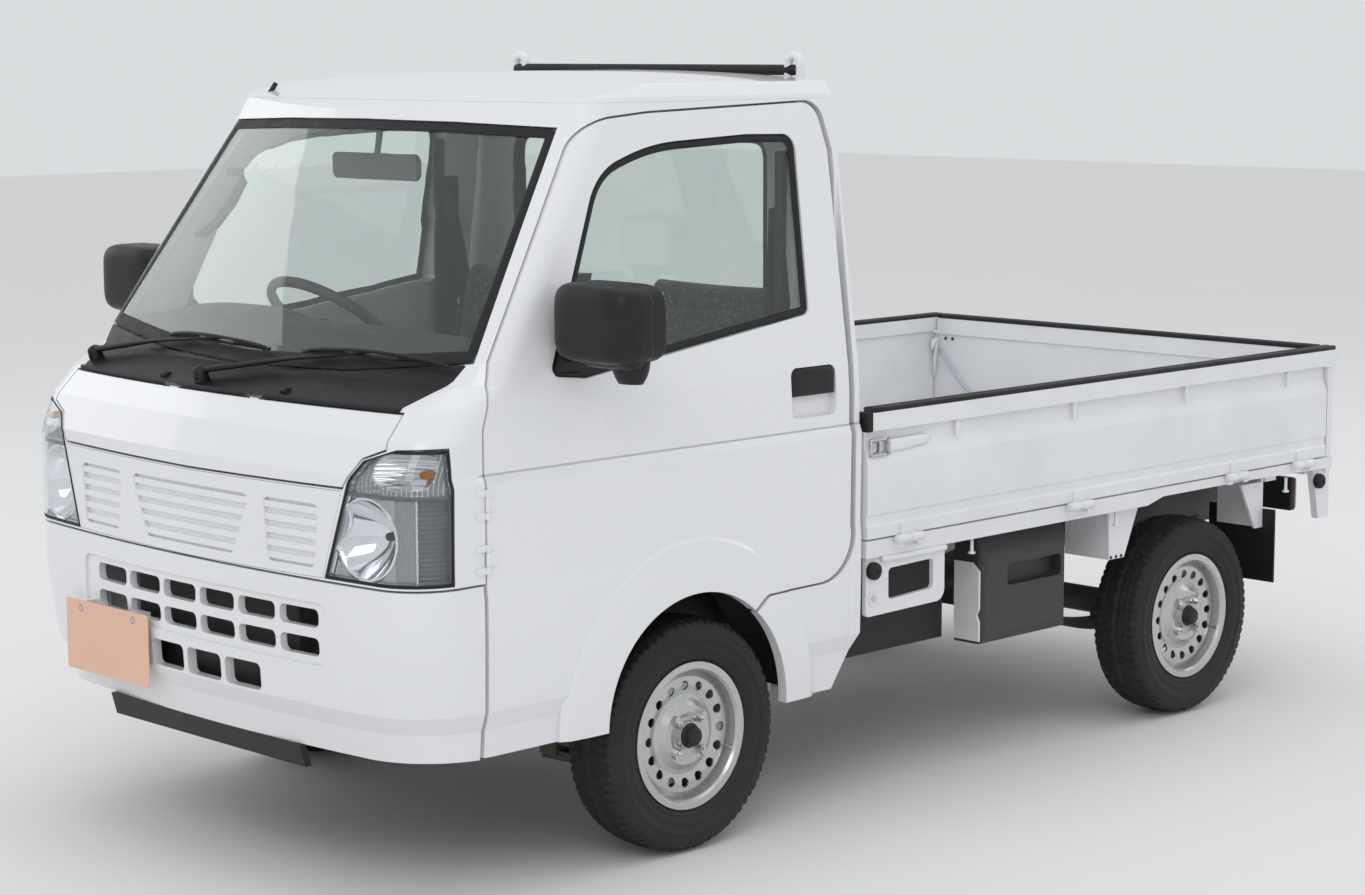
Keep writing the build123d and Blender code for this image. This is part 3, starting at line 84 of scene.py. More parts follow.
def put_mesh(name, shape, finish, body, slot=None, smooth=True, tone=None):
    """Mesh object at the origin from (points, quads), riding on a body; tone is a value for each point, which
    the material reads as an attribute."""
    points = np.asarray(shape[0], float).reshape(-1, 3)
    faces = np.asarray(shape[1], int).reshape(-1, 4)
    slot = slot or FINISH_SLOTS.get(finish, finish)
    mesh = bpy.data.meshes.new(name)
    mesh.vertices.add(len(points))
    mesh.vertices.foreach_set("co", points.astype(np.float32).ravel())
    mesh.loops.add(faces.size)
    mesh.loops.foreach_set("vertex_index", faces.astype(np.int32).ravel())
    mesh.polygons.add(len(faces))
    mesh.polygons.foreach_set("loop_start", np.arange(0, faces.size, 4, dtype=np.int32))
    mesh.update(calc_edges=True)
    if tone is not None:
        layer = mesh.attributes.new("tone", "FLOAT", "POINT")
        layer.data.foreach_set("value", np.asarray(tone, np.float32).ravel())
    mesh.validate()
    joined = bmesh.new()
    joined.from_mesh(mesh)
    bmesh.ops.remove_doubles(joined, verts=joined.verts, dist=1e-6)
    bmesh.ops.recalc_face_normals(joined, faces=joined.faces)
    joined.to_mesh(mesh)
    joined.free()
    mesh.polygons.foreach_set("use_smooth", np.full(len(mesh.polygons), smooth))
    piece = bpy.data.objects.new(name, mesh)
    bpy.context.scene.collection.objects.link(piece)
    piece.data.materials.append(MATERIALS[finish])
    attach(piece, body)
    return piece


def put_pair(name, shape, finish, body="root", **options):
    """The piece on the left and its mirror image on the right; braces in the body's name take the side's."""
    return [put_mesh(f"{name}_{side_name}", on_side(shape, side), finish, body.format(side_name), **options)
            for side, side_name in SIDES]


def merge(parts):
    """Several (points, faces) pairs as one, with the later faces renumbered."""
    points, faces, start = [], [], 0
    for part_points, part_faces in parts:
        part_points = np.asarray(part_points, float).reshape(-1, 3)
        points.append(part_points)
        faces.append(np.asarray(part_faces, int).reshape(-1, 4) + start)
        start += len(part_points)
    return np.concatenate(points), np.concatenate(faces)


def turned(profile, centre, segments):
    """Profile of (along, radius) pairs turned about an X-directed axis: angle round, profile along."""
    along, radius = np.asarray(profile, float).T
    angle = np.linspace(0, 2 * math.pi, segments, endpoint=False)[:, None]
    points = xyz(centre[0] + along, centre[1] + radius * np.cos(angle), centre[2] + radius * np.sin(angle))
    return points.reshape(-1, 3), grid_faces(segments, len(along), wrap_rows=True)


def frames_along(path, up=(0, 0, 1)):
    """Unit tangent, side and up vectors at each point of a path."""
    path = np.asarray(path, float)
    tangent = np.gradient(path, axis=0)
    tangent /= np.linalg.norm(tangent, axis=1)[:, None]
    side = np.cross(tangent, np.asarray(up, float)[None, :])
    length = np.linalg.norm(side, axis=1)
    side[length < 1e-6] = np.cross(tangent[length < 1e-6], (0, 1, 0))
    side /= np.linalg.norm(side, axis=1)[:, None]
    return tangent, side, np.cross(side, tangent)


def tube(path, radius, sides=12, up=(0, 0, 1), flatten=1.0, closed=False):
    """Round or flattened bar along a path, with its ends drawn in to a point."""
    path = np.asarray(path, float)
    _, side, upward = frames_along(path, up)
    radius = np.broadcast_to(np.asarray(radius, float), len(path))
    if not closed:
        path = np.concatenate([path[:1], path, path[-1:]])
        side = np.concatenate([side[:1], side, side[-1:]])
        upward = np.concatenate([upward[:1], upward, upward[-1:]])
        radius = np.concatenate([[1e-5], radius, [1e-5]])
    angle = np.linspace(0, 2 * math.pi, sides, endpoint=False)
    ring = (np.cos(angle)[None, :, None] * side[:, None, :]
            + flatten * np.sin(angle)[None, :, None] * upward[:, None, :])
    points = path[:, None, :] + radius[:, None, None] * ring
    return points.reshape(-1, 3), grid_faces(len(path), sides, wrap_rows=closed, wrap_columns=True)


def block(low, high, rounding=0.004, steps=4):
    """Box with rounded edges: a sphere's directions pushed out to the corners of a smaller box."""
    low, high = np.minimum(low, high), np.maximum(low, high)
    centre, half = (low + high) / 2, (high - low) / 2
    rounding = min(rounding, half.min() * 0.98)
    core = half - rounding
    polar = np.concatenate([np.linspace(0, 0.5, steps + 1), np.linspace(0.5, 1, steps + 1)]) * math.pi
    signs_z = np.concatenate([np.ones(steps + 1), -np.ones(steps + 1)])
    quarter = np.linspace(0, 0.5 * math.pi, steps + 1)
    around = np.concatenate([quarter + k * 0.5 * math.pi for k in range(4)])
    sign_x = np.repeat([1, -1, -1, 1], steps + 1)
    sign_y = np.repeat([1, 1, -1, -1], steps + 1)
    flat = np.sin(polar)[:, None]
    x = sign_x[None, :] * core[0] + rounding * flat * np.cos(around)[None, :]
    y = sign_y[None, :] * core[1] + rounding * flat * np.sin(around)[None, :]
    z = signs_z[:, None] * core[2] + rounding * np.cos(polar)[:, None] + 0 * x
    ring = np.stack([x, y, z], 2) + centre
    top, bottom = ring[0].mean(0), ring[-1].mean(0)
    cap_top = np.broadcast_to(top, ring[0].shape)[None]
    cap_bottom = np.broadcast_to(bottom, ring[0].shape)[None]
    points = np.concatenate([cap_top, ring, cap_bottom])
    return points.reshape(-1, 3), grid_faces(len(points), len(around), wrap_columns=True)


def mirrored(points_faces):
    """The same shape on the other side of the middle plane."""
    points, faces = points_faces
    return np.asarray(points).reshape(-1, 3) * (-1, 1, 1), np.asarray(faces)[:, ::-1]


def on_side(points_faces, side):
    """The shape itself on the left, its mirror image on the right."""
    return points_faces if side > 0 else mirrored(points_faces)


def shell(front, back):
    """Closed skin between a front and a back grid of points: rings across, flat onto the back at both ends."""
    rings = np.concatenate([front, back[:, ::-1]], 1)
    first, last = (np.concatenate([back[k], back[k][::-1]])[None] for k in (0, -1))
    points = np.concatenate([first, rings, last])
    return points.reshape(-1, 3), grid_faces(len(points), points.shape[1], wrap_columns=True)


def edge_fall(u, v, sharp_u, sharp_v, power=0.5):
    """1 over most of a square of -1 to 1, falling to 0 at its rim as a superellipse does."""
    return (np.clip(1 - np.abs(u) ** sharp_u, 0, 1) * np.clip(1 - np.abs(v) ** sharp_v, 0, 1)) ** power


# ---- shared shader groups ----
def new_group(name, inputs, outputs):
    """Shader node group with named sockets; inputs are (name, kind, default) rows."""
    group = bpy.data.node_groups.new(name, "ShaderNodeTree")
    kinds = {"value": "NodeSocketFloat", "colour": "NodeSocketColor", "vector": "NodeSocketVector"}
    for socket, kind, default in inputs:
        item = group.interface.new_socket(name=socket, in_out="INPUT", socket_type=kinds[kind])
        item.default_value = default
    for socket, kind in outputs:
        group.interface.new_socket(name=socket, in_out="OUTPUT", socket_type=kinds[kind])
    return group, group.nodes.new("NodeGroupInput"), group.nodes.new("NodeGroupOutput")


def node(tree, kind, links=None, **values):
    """Adds a node, sets its properties and input values, and links its named inputs."""
    item = tree.nodes.new(kind)
    for key, value in values.items():
        if key.startswith("in_"):
            item.inputs[int(key[3:]) if key[3:].isdigit() else key[3:].replace("_", " ")].default_value = value
        else:
            setattr(item, key, value)
    for socket, source in (links or {}).items():
        tree.links.new(source, item.inputs[socket])
    return item


def maths(tree, operation, first, second=None, **values):
    """Output of a maths node on sockets or plain numbers."""
    item = node(tree, "ShaderNodeMath", operation=operation, **values)
    for k, value in enumerate((first, second)):
        if isinstance(value, float):
            item.inputs[k].default_value = value
        elif value is not None:
            tree.links.new(value, item.inputs[k])
    return item.outputs[0]


def ramp(tree, value, low, high, to_low=0.0, to_high=1.0):
    """Straight ramp: a value from low to high becomes one from to_low to to_high."""
    item = node(tree, "ShaderNodeMapRange", {"Value": value}, in_1=low, in_2=high, in_3=to_low, in_4=to_high)
    return item.outputs["Result"]


def mixed(tree, factor, first, second):
    """Colour between two, each a socket or a red, green and blue triple."""
    item = node(tree, "ShaderNodeMix", {"Factor": factor}, data_type="RGBA")
    for k, colour in ((6, first), (7, second)):
        if isinstance(colour, tuple):
            item.inputs[k].default_value = (*colour, 1)
        else:
            tree.links.new(colour, item.inputs[k])
    return item.outputs[2]


def bumped(tree, height, distance, strength):
    """Normal bent by a height."""
    return node(tree, "ShaderNodeBump", {"Height": height}, in_Distance=distance, in_Strength=strength).outputs[0]


def here(tree):
    """The place of the shaded point on its piece."""
    return node(tree, "ShaderNodeTexCoord").outputs["Object"]


def here_parts(tree):
    """The same place as three outputs, X, Y and Z."""
    return node(tree, "ShaderNodeSeparateXYZ", {"Vector": here(tree)}).outputs


def make_fine_variation():
    """Colour that drifts between two tones with a noise of many scales; gives the mask too."""
    group, gin, gout = new_group(
        "fine_variation",
        (("Tone A", "colour", (0.8, 0.8, 0.8, 1)), ("Tone B", "colour", (0.7, 0.7, 0.7, 1)),
         ("Scale", "value", 3.0), ("Contrast", "value", 0.5)),
        (("Colour", "colour"), ("Mask", "value")))
    drift = node(group, "ShaderNodeTexNoise", {"Vector": here(group), "Scale": gin.outputs["Scale"]},
                 in_Detail=6.0, in_Roughness=0.6)
    spread = maths(group, "SUBTRACT", drift.outputs["Fac"], 0.5)
    gain = maths(group, "MULTIPLY", spread, gin.outputs["Contrast"])
    mask = maths(group, "MULTIPLY_ADD", gain, 4.0, in_2=0.5, use_clamp=True)
    group.links.new(mixed(group, mask, gin.outputs["Tone A"], gin.outputs["Tone B"]), gout.inputs["Colour"])
    group.links.new(mask, gout.inputs["Mask"])
    return group


def make_grain():
    """Fine moulded grain: rounded cells pressed into the surface, as a normal."""
    group, gin, gout = new_group(
        "moulded_grain",
        (("Scale", "value", 900.0), ("Depth", "value", 0.0002), ("Strength", "value", 0.4)),
        (("Normal", "vector"),))
    cells = node(group, "ShaderNodeTexVoronoi", {"Vector": here(group), "Scale": gin.outputs["Scale"]},
                 feature="SMOOTH_F1")
    pressed = node(group, "ShaderNodeBump", {"Height": cells.outputs["Distance"], "Distance": gin.outputs["Depth"],
                                             "Strength": gin.outputs["Strength"]})
    group.links.new(pressed.outputs[0], gout.inputs["Normal"])
    return group


def make_road_dust():
    """Dust that thickens towards the ground, broken up by noise, mixed in as a dust colour."""
    group, gin, gout = new_group(
        "road_dust",
        (("Colour", "colour", (0.8, 0.8, 0.8, 1)), ("Dust", "colour", (0.42, 0.38, 0.33, 1)),
         ("Low", "value", 0.0), ("High", "value", 0.6), ("Amount", "value", 0.2)),
        (("Colour", "colour"),))
    height = node(group, "ShaderNodeMapRange", {"Value": here_parts(group)["Z"], "From Min": gin.outputs["High"],
                                                "From Max": gin.outputs["Low"]}, interpolation_type="SMOOTHSTEP")
    noise = node(group, "ShaderNodeTexNoise", {"Vector": here(group)}, in_Scale=14.0, in_Detail=9.0,
                 in_Roughness=0.7)
    broken = maths(group, "MULTIPLY", height.outputs["Result"], noise.outputs["Fac"])
    mask = maths(group, "MULTIPLY", broken, gin.outputs["Amount"], use_clamp=True)
    group.links.new(mixed(group, mask, gin.outputs["Colour"], gin.outputs["Dust"]), gout.inputs["Colour"])
    return group


GROUPS = {}
MATERIALS = {}


def surface(name, **values):
    """Material with one Principled shader; plain numbers go on the shader's own sockets."""
    material = bpy.data.materials.new(name)
    material.use_nodes = True
    tree = material.node_tree
    shader = tree.nodes["Principled BSDF"]
    for key, value in values.items():
        shader.inputs[key.replace("_", " ")].default_value = value
    MATERIALS[name] = material
    return material, tree, shader


def add_group(tree, name, links=None, **values):
    """Places a shared group in a material's tree, with its values by socket name."""
    item = tree.nodes.new("ShaderNodeGroup")
    item.node_tree = GROUPS[name]
    for key, value in values.items():
        item.inputs[key.replace("_", " ")].default_value = value
    for socket, source in (links or {}).items():
        tree.links.new(source, item.inputs[socket])
    return item


def rough_from(tree, shader, mask, low, high):
    """Roughness that runs from low to high as the mask goes from 0 to 1."""
    tree.links.new(ramp(tree, mask, 0.0, 1.0, low, high), shader.inputs["Roughness"])


def drifting(tree, shader, tone_a, tone_b, scale, contrast):
    """Base colour that drifts between two tones; returns the group that makes it."""
    tones = add_group(tree, "fine_variation", Tone_A=(*tone_a, 1), Tone_B=(*tone_b, 1), Scale=scale,
                      Contrast=contrast)
    tree.links.new(tones.outputs["Colour"], shader.inputs["Base Color"])
    return tones


def coloured(name, tone_a, tone_b, scale, contrast, low, high, dust=0.0, dust_high=0.55, grain=None, **values):
    """Paint or plastic: two close tones, dust near the ground, roughness that follows them, optional grain."""
    _, tree, shader = surface(name, **values)
    tones = drifting(tree, shader, tone_a, tone_b, scale, contrast)
    if dust:
        dusty = add_group(tree, "road_dust", {"Colour": tones.outputs["Colour"]}, High=dust_high, Amount=dust)
        tree.links.new(dusty.outputs["Colour"], shader.inputs["Base Color"])
    rough_from(tree, shader, tones.outputs["Mask"], low, high)
    if grain:
        pressed = add_group(tree, "moulded_grain", Scale=grain[0], Depth=grain[1], Strength=grain[2])
        tree.links.new(pressed.outputs["Normal"], shader.inputs["Normal"])
    return tree, shader


def make_body_paint(name, white, shade):
    """White paint with a clear coat. The line pressed along the doors is sharpened as a sawtooth of height over
    Z, and the small hinge ears at the front lid's upper edge are black, by their height and place."""
    tree, shader = coloured(name, white, shade, 1.6, 0.5, 0.24, 0.34, dust=0.22, dust_high=0.62,
                            Coat_Weight=0.7, Coat_Roughness=0.05, Specular_IOR_Level=0.5)
    parts = here_parts(tree)
    x, y, z = (parts[axis] for axis in "XYZ")
    saw = maths(tree, "ADD", ramp(tree, z, 0.902, 0.922, 0.0, -1.0), ramp(tree, z, 0.922, 0.9265))
    height = maths(tree, "MULTIPLY", saw, ramp(tree, y, -1.478, -1.462))
    normal = bumped(tree, height, 0.006, 1.0)
    tree.links.new(normal, shader.inputs["Normal"])
    tree.links.new(normal, shader.inputs["Coat Normal"])
    ear = maths(tree, "MULTIPLY", ramp(tree, z, 1.0525, 1.0535),
                ramp(tree, maths(tree, "ABSOLUTE", x), 0.225, 0.215))
    ear = maths(tree, "MULTIPLY", ear, ramp(tree, y, -1.50, -1.51))
    painted = shader.inputs["Base Color"].links[0].from_socket
    tree.links.new(mixed(tree, ear, painted, (0.012, 0.012, 0.013)), shader.inputs["Base Color"])


def make_fabric():
    """Woven seat cloth: two crossing thread waves, pale flecks over a dark ground, soft sheen."""
    _, tree, shader = surface("seat_cloth", Sheen_Weight=0.35, Sheen_Roughness=0.5)
    tones = drifting(tree, shader, (0.05, 0.055, 0.062), (0.085, 0.09, 0.1), 60.0, 0.8)
    flecks = node(tree, "ShaderNodeTexVoronoi", {"Vector": here(tree)}, in_Scale=85.0)
    fleck_mask = ramp(tree, flecks.outputs["Distance"], 0.34, 0.22)
    flecked = mixed(tree, fleck_mask, tones.outputs["Colour"], (0.2, 0.21, 0.23))
    tree.links.new(flecked, shader.inputs["Base Color"])
    rough_from(tree, shader, tones.outputs["Mask"], 0.8, 0.95)
    across, along = (node(tree, "ShaderNodeTexWave", {"Vector": here(tree)}, in_Scale=320.0,
                          bands_direction=way).outputs["Fac"] for way in "XZ")
    weave = bumped(tree, maths(tree, "MULTIPLY", across, along), 0.0006, 0.5)
    tree.links.new(weave, shader.inputs["Normal"])


def make_reflector():
    """Lamp interior: the tone painted on its points runs from dark plastic to vacuum-coated chrome."""
    _, tree, shader = surface("lamp_reflector")
    tone = node(tree, "ShaderNodeAttribute", attribute_name="tone").outputs["Fac"]
    chrome = drifting(tree, shader, (0.9, 0.91, 0.93), (0.8, 0.81, 0.84), 20.0, 0.6)
    tree.links.new(mixed(tree, tone, (0.14, 0.145, 0.15), chrome.outputs["Colour"]), shader.inputs["Base Color"])
    tree.links.new(tone, shader.inputs["Metallic"])
    rough_from(tree, shader, tone, 0.4, 0.09)


def make_plate(colour):
    """Blank plate: painted face with two flush bolts, each a disc where the distance to its centre is small,
    with a dark ring round it."""
    _, tree, shader = surface("plate_face")
    tones = drifting(tree, shader, colour, tuple(c * 0.95 for c in colour), 6.0, 0.5)
    parts = here_parts(tree)
    from_middle = maths(tree, "ABSOLUTE", maths(tree, "ADD", parts["X"], 0.322))
    flat = node(tree, "ShaderNodeCombineXYZ", {"X": from_middle, "Y": parts["Z"]})
    reach = node(tree, "ShaderNodeVectorMath", {0: flat.outputs[0]}, operation="DISTANCE",
                 in_1=(0.105, 0.522, 0.0)).outputs["Value"]
    disc = ramp(tree, reach, 0.0072, 0.0066)
    ringed = mixed(tree, ramp(tree, reach, 0.0088, 0.0080), tones.outputs["Colour"], (0.12, 0.08, 0.06))
    tree.links.new(mixed(tree, disc, ringed, (0.62, 0.62, 0.6)), shader.inputs["Base Color"])
    tree.links.new(disc, shader.inputs["Metallic"])
    rough_from(tree, shader, tones.outputs["Mask"], 0.35, 0.48)
    tree.links.new(bumped(tree, disc, 0.002, 0.6), shader.inputs["Normal"])


def make_materials(look):
    """Every finish of the truck, from the colours in the panel."""
    GROUPS["fine_variation"] = make_fine_variation()
    GROUPS["moulded_grain"] = make_grain()
    GROUPS["road_dust"] = make_road_dust()
    white = tuple(look.paint_colour)
    shade = tuple(c * 0.965 for c in white)
    make_body_paint("white_paint", white, shade)
    coloured("bed_paint", white, tuple(c * 0.93 for c in white), 5.0, 0.7, 0.3, 0.46, dust=0.12, dust_high=0.9,
             Coat_Weight=0.25, Coat_Roughness=0.12)
    coloured("inner_paint", (0.62, 0.64, 0.65), (0.56, 0.58, 0.59), 4.0, 0.6, 0.4, 0.55)
    coloured("black_plastic", (0.009, 0.009, 0.010), (0.014, 0.014, 0.015), 30.0, 0.6, 0.36, 0.5,
             dust=0.03, grain=(900.0, 0.0003, 0.3), Specular_IOR_Level=0.35)
    coloured("grey_plastic", (0.030, 0.030, 0.032), (0.042, 0.042, 0.044), 18.0, 0.6, 0.45, 0.6,
             dust=0.1, grain=(700.0, 0.0003, 0.45))
    coloured("dash_plastic", (0.075, 0.078, 0.082), (0.1, 0.103, 0.108), 20.0, 0.7, 0.55, 0.72,
             grain=(800.0, 0.0003, 0.4))
    coloured("trim_grey", (0.3, 0.31, 0.32), (0.35, 0.36, 0.37), 12.0, 0.6, 0.5, 0.66, grain=(800.0, 0.0002, 0.3))
    coloured("black_metal", (0.018, 0.018, 0.019), (0.045, 0.042, 0.038), 9.0, 0.9, 0.4, 0.65, dust=0.35)
    coloured("cast_metal", (0.16, 0.16, 0.165), (0.23, 0.22, 0.21), 14.0, 0.9, 0.5, 0.75, dust=0.3,
             grain=(260.0, 0.0006, 0.5), Metallic=0.6)
    coloured("galvanised", (0.5, 0.5, 0.49), (0.36, 0.34, 0.31), 11.0, 0.9, 0.32, 0.55, dust=0.2, Metallic=0.9)
    coloured("bright_steel", (0.66, 0.66, 0.66), (0.58, 0.58, 0.58), 30.0, 0.7, 0.2, 0.34, Metallic=1.0)
    coloured("wheel_silver", (0.58, 0.585, 0.59), (0.53, 0.53, 0.53), 9.0, 0.35, 0.24, 0.32, dust=0.04,
             dust_high=0.5, Metallic=0.88)
    coloured("chrome", (0.82, 0.83, 0.85), (0.76, 0.77, 0.79), 8.0, 0.6, 0.03, 0.08, Metallic=1.0)
    coloured("red_lens", (0.42, 0.012, 0.012), (0.34, 0.01, 0.01), 40.0, 0.7, 0.08, 0.16, Coat_Weight=0.6,
             Transmission_Weight=0.25)
    coloured("amber_lens", (0.85, 0.3, 0.03), (0.75, 0.25, 0.02), 40.0, 0.7, 0.1, 0.2, Transmission_Weight=0.3)
    coloured("tyre_rubber", (0.010, 0.010, 0.011), (0.016, 0.016, 0.0165), 16.0, 0.6, 0.55, 0.72, dust=0.05,
             dust_high=0.6, grain=(500.0, 0.0003, 0.25), Specular_IOR_Level=0.35)
    coloured("black_rubber", (0.008, 0.008, 0.009), (0.013, 0.013, 0.014), 24.0, 0.6, 0.45, 0.62,
             grain=(700.0, 0.0002, 0.25), Specular_IOR_Level=0.35)
    make_plate(tuple(look.plate_colour))
    coloured("mirror_face", (0.78, 0.8, 0.82), (0.76, 0.78, 0.8), 5.0, 0.5, 0.01, 0.03, Metallic=1.0)
    coloured("stay_wire", (0.5, 0.6, 0.72), (0.42, 0.52, 0.66), 30.0, 0.7, 0.25, 0.4, Metallic=0.5)
    coloured("clear_plastic", (0.8, 0.8, 0.82), (0.7, 0.7, 0.72), 40.0, 0.7, 0.08, 0.16, Coat_Weight=0.6,
             Transmission_Weight=0.3)
    coloured("belt_webbing", (0.02, 0.02, 0.021), (0.03, 0.03, 0.032), 300.0, 0.8, 0.7, 0.85,
             grain=(1400.0, 0.0003, 0.5))
    make_fabric()
    make_reflector()
    for name, index, scale, tone_a, tone_b in (
            ("tinted_glass", 1.5, 1.5, (0.86, 0.92, 0.9), (0.83, 0.9, 0.88)),
            ("clear_lens", 1.45, 6.0, (0.95, 0.97, 0.98), (0.92, 0.94, 0.95))):
        _, tree, shader = surface(name, Roughness=0.0, IOR=index, Transmission_Weight=1.0)
        drifting(tree, shader, tone_a, tone_b, scale, 0.4)


NODES_BY_FINISH = {
    "white_paint": ("cab_shell", "hood", "nose_panel", "front_bumper", "door_left", "door_right", "roof_panel",
        "cab_back_panel",),
    "black_metal": ("cab_floor", "radiator", "chassis_frame", "front_suspension", "rear_axle", "leaf_springs",
        "knuckle_left", "knuckle_right", "fuel_tank",),
    "plate_face": ("number_plate",),
    # splash_shields are black plates behind the cab and under the bed: partly the real black under-cover, partly
    # dark sheets that stand in for the shade in the space under the bed (painted shade).
    "black_plastic": ("front_valance", "cowl_panel", "door_fittings_left", "door_fittings_right", "antenna",
        "wipers", "splash_shields",),
    "tinted_glass": ("windshield", "rear_window", "door_glass_left", "door_glass_right",),
    "clear_lens": ("headlamp_lenses",),
    "chrome": ("headlamp_housings",),
    "dash_plastic": ("dashboard", "steering_wheel", "steering_column",),
    "seat_cloth": ("seat_bases", "seat_backs",),
    "bed_paint": ("bed_floor", "bed_underframe", "headboard", "side_gate_left", "side_gate_right", "tailgate",
        "rear_fenders", "battery_bracket", "bed_cross_members",),
    "red_lens": ("tail_lamps",),
    "cast_metal": ("engine_block", "driveline",),
    "grey_plastic": ("battery_cover",),
    "galvanised": ("exhaust",),
    "black_rubber": ("mud_flaps",),
    "trim_grey": ("cabin_fittings",),
}


def finish_nodes():
    """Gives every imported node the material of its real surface."""
    finishes = {name: finish for finish, names in NODES_BY_FINISH.items() for name in names}
    for name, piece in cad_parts.items():
        if name.startswith("tyre_"):
            finish = "tyre_rubber"
        elif name.startswith("rim_"):
            finish = "wheel_silver"
        else:
            finish = finishes[name]
        piece.data.materials.clear()
        piece.data.materials.append(MATERIALS[finish])


# ---- the cab's outer surface ----
# height, half width, setback of the front centre, bow radius, corner radius
CAB_SECTIONS = np.array((
    (0.300, 0.712, 0.046, 5.0, 0.200), (0.385, 0.716, 0.028, 5.0, 0.200), (0.425, 0.728, 0.008, 5.0, 0.190),
    (0.560, 0.731, 0.000, 5.0, 0.150), (0.660, 0.731, 0.000, 5.0, 0.135), (0.690, 0.728, 0.000, 5.0, 0.130),
    (0.906, 0.731, 0.001, 5.0, 0.130), (0.926, 0.723, 0.003, 5.0, 0.130), (1.000, 0.723, 0.030, 4.5, 0.130),
    (1.060, 0.719, 0.080, 3.8, 0.130),
    (1.105, 0.713, 0.161, 3.6, 0.110), (1.150, 0.707, 0.191, 3.5, 0.100), (1.628, 0.640, 0.504, 2.22, 0.080),
    (1.690, 0.630, 0.539, 2.22, 0.080), (1.715, 0.612, 0.553, 2.22, 0.080), (1.760, 0.570, 0.578, 2.22, 0.080),
))
CAB_FRONT = -1.6915
CAB_BACK = -0.3


def front_y(x, z, inset=0.0):
    """Y of the cab's front at X and height: arcs bowed forward, tangent to corner arcs, ruled between heights."""
    x, z = np.broadcast_arrays(np.abs(np.asarray(x, float)), np.asarray(z, float))
    heights, half, setback, bow, corner = CAB_SECTIONS.T
    corner_x = half - corner
    tangent = corner_x * bow / (bow - corner)
    share = x / np.interp(z, heights, tangent)
    levels = []
    for k in range(len(heights)):
        reach = np.minimum(share * tangent[k], half[k] - 1e-4)
        on_bow = setback[k] + bow[k] - np.sqrt(bow[k] ** 2 - np.minimum(reach, tangent[k]) ** 2)
        corner_y = setback[k] + bow[k] - math.sqrt((bow[k] - corner[k]) ** 2 - corner_x[k] ** 2)
        spread = np.clip(reach - corner_x[k], 0, corner[k] - 1e-6)
        on_corner = corner_y - np.sqrt(corner[k] ** 2 - spread ** 2)
        levels.append(np.where(reach > tangent[k], on_corner, on_bow))
    levels = np.stack(levels)
    upper = np.clip(np.searchsorted(heights, z), 1, len(heights) - 1)
    lower = upper - 1
    weight = np.clip((z - heights[lower]) / (heights[upper] - heights[lower]), 0, 1)
    low = np.take_along_axis(levels, lower[None], 0)[0]
    high = np.take_along_axis(levels, upper[None], 0)[0]
    return CAB_FRONT + inset + low + (high - low) * weight


def side_x(z, inset=0.0):
    """X of the cab's straight left side at a height."""
    return np.interp(z, CAB_SECTIONS[:, 0], CAB_SECTIONS[:, 1]) - inset


def skin(across, z, depth=0.0):
    """Point of the cab's left skin and its bowed front: across runs 0 to 1 over the bow, 1 to 2 round the corner
    arc and 2 to 3 back along the side, each by angle or length; depth is measured inwards in plan. The last
    value is the distance along the skin from the middle."""
    across, z, depth = np.broadcast_arrays(*(np.asarray(value, float) for value in (across, z, depth)))
    heights, half, setback, bow, corner = CAB_SECTIONS.T
    corner_x = half - corner
    corner_y = CAB_FRONT + setback + bow - np.sqrt((bow - corner) ** 2 - corner_x ** 2)
    bend = np.arcsin(corner_x / (bow - corner))
    shape = (len(heights),) + (1,) * across.ndim
    half, setback, bow, corner, corner_x, corner_y, bend = (
        value.reshape(shape) for value in (half, setback, bow, corner, corner_x, corner_y, bend))
    on_bow, on_arc, on_side_run = (np.clip(across - k, 0, 1)[None] for k in (0, 1, 2))
    angle = on_bow * bend + on_arc * (math.pi / 2 - bend)
    bowed = (across < 1)[None]
    x = np.where(bowed, bow * np.sin(angle), corner_x + corner * np.sin(angle))
    y = np.where(bowed, CAB_FRONT + setback + bow * (1 - np.cos(angle)), corner_y - corner * np.cos(angle))
    run_y = on_side_run * (CAB_BACK - corner_y)
    length = on_bow * bow * bend + on_arc * corner * (math.pi / 2 - bend) + run_y
    upper = np.clip(np.searchsorted(heights, z), 1, len(heights) - 1)
    weight = np.clip((z - heights[upper - 1]) / (heights[upper] - heights[upper - 1]), 0, 1)

    def ruled(levels):
        low, high = (np.take_along_axis(levels, k[None], 0)[0] for k in (upper - 1, upper))
        return low + (high - low) * weight

    turn = ruled(angle)
    return ruled(x) - depth * np.sin(turn), ruled(y + run_y) + depth * np.cos(turn), ruled(length)


def rounded_outline(corners, radii, steps=7, spacing=0.03):
    """Closed outline in a plane with an arc at each corner, its straight runs divided evenly."""
    corners = np.asarray(corners, float)
    radii = np.broadcast_to(np.asarray(radii, float), len(corners))
    runs = []
    for k, corner in enumerate(corners):
        before, after = corners[k - 1] - corner, corners[(k + 1) % len(corners)] - corner
        before_length, after_length = np.linalg.norm(before), np.linalg.norm(after)
        before, after = before / before_length, after / after_length
        half_angle = math.acos(np.clip(before @ after, -1, 1)) / 2
        reach = min(radii[k] / math.tan(half_angle), 0.49 * before_length, 0.49 * after_length)
        if reach < 1e-6:
            runs.append(corner[None])
            continue
        t = np.linspace(0, 1, steps)[:, None]
        start, end = corner + before * reach, corner + after * reach
        runs.append((1 - t) ** 2 * start + 2 * t * (1 - t) * corner + t ** 2 * end)
    line = np.concatenate(runs)
    joined = np.concatenate([line, line[:1]])
    pieces = []
    for start, end in zip(joined[:-1], joined[1:]):
        count = max(1, int(np.linalg.norm(end - start) / spacing))
        pieces.append(start + (end - start) * (np.arange(count) / count)[:, None])
    return np.concatenate(pieces)


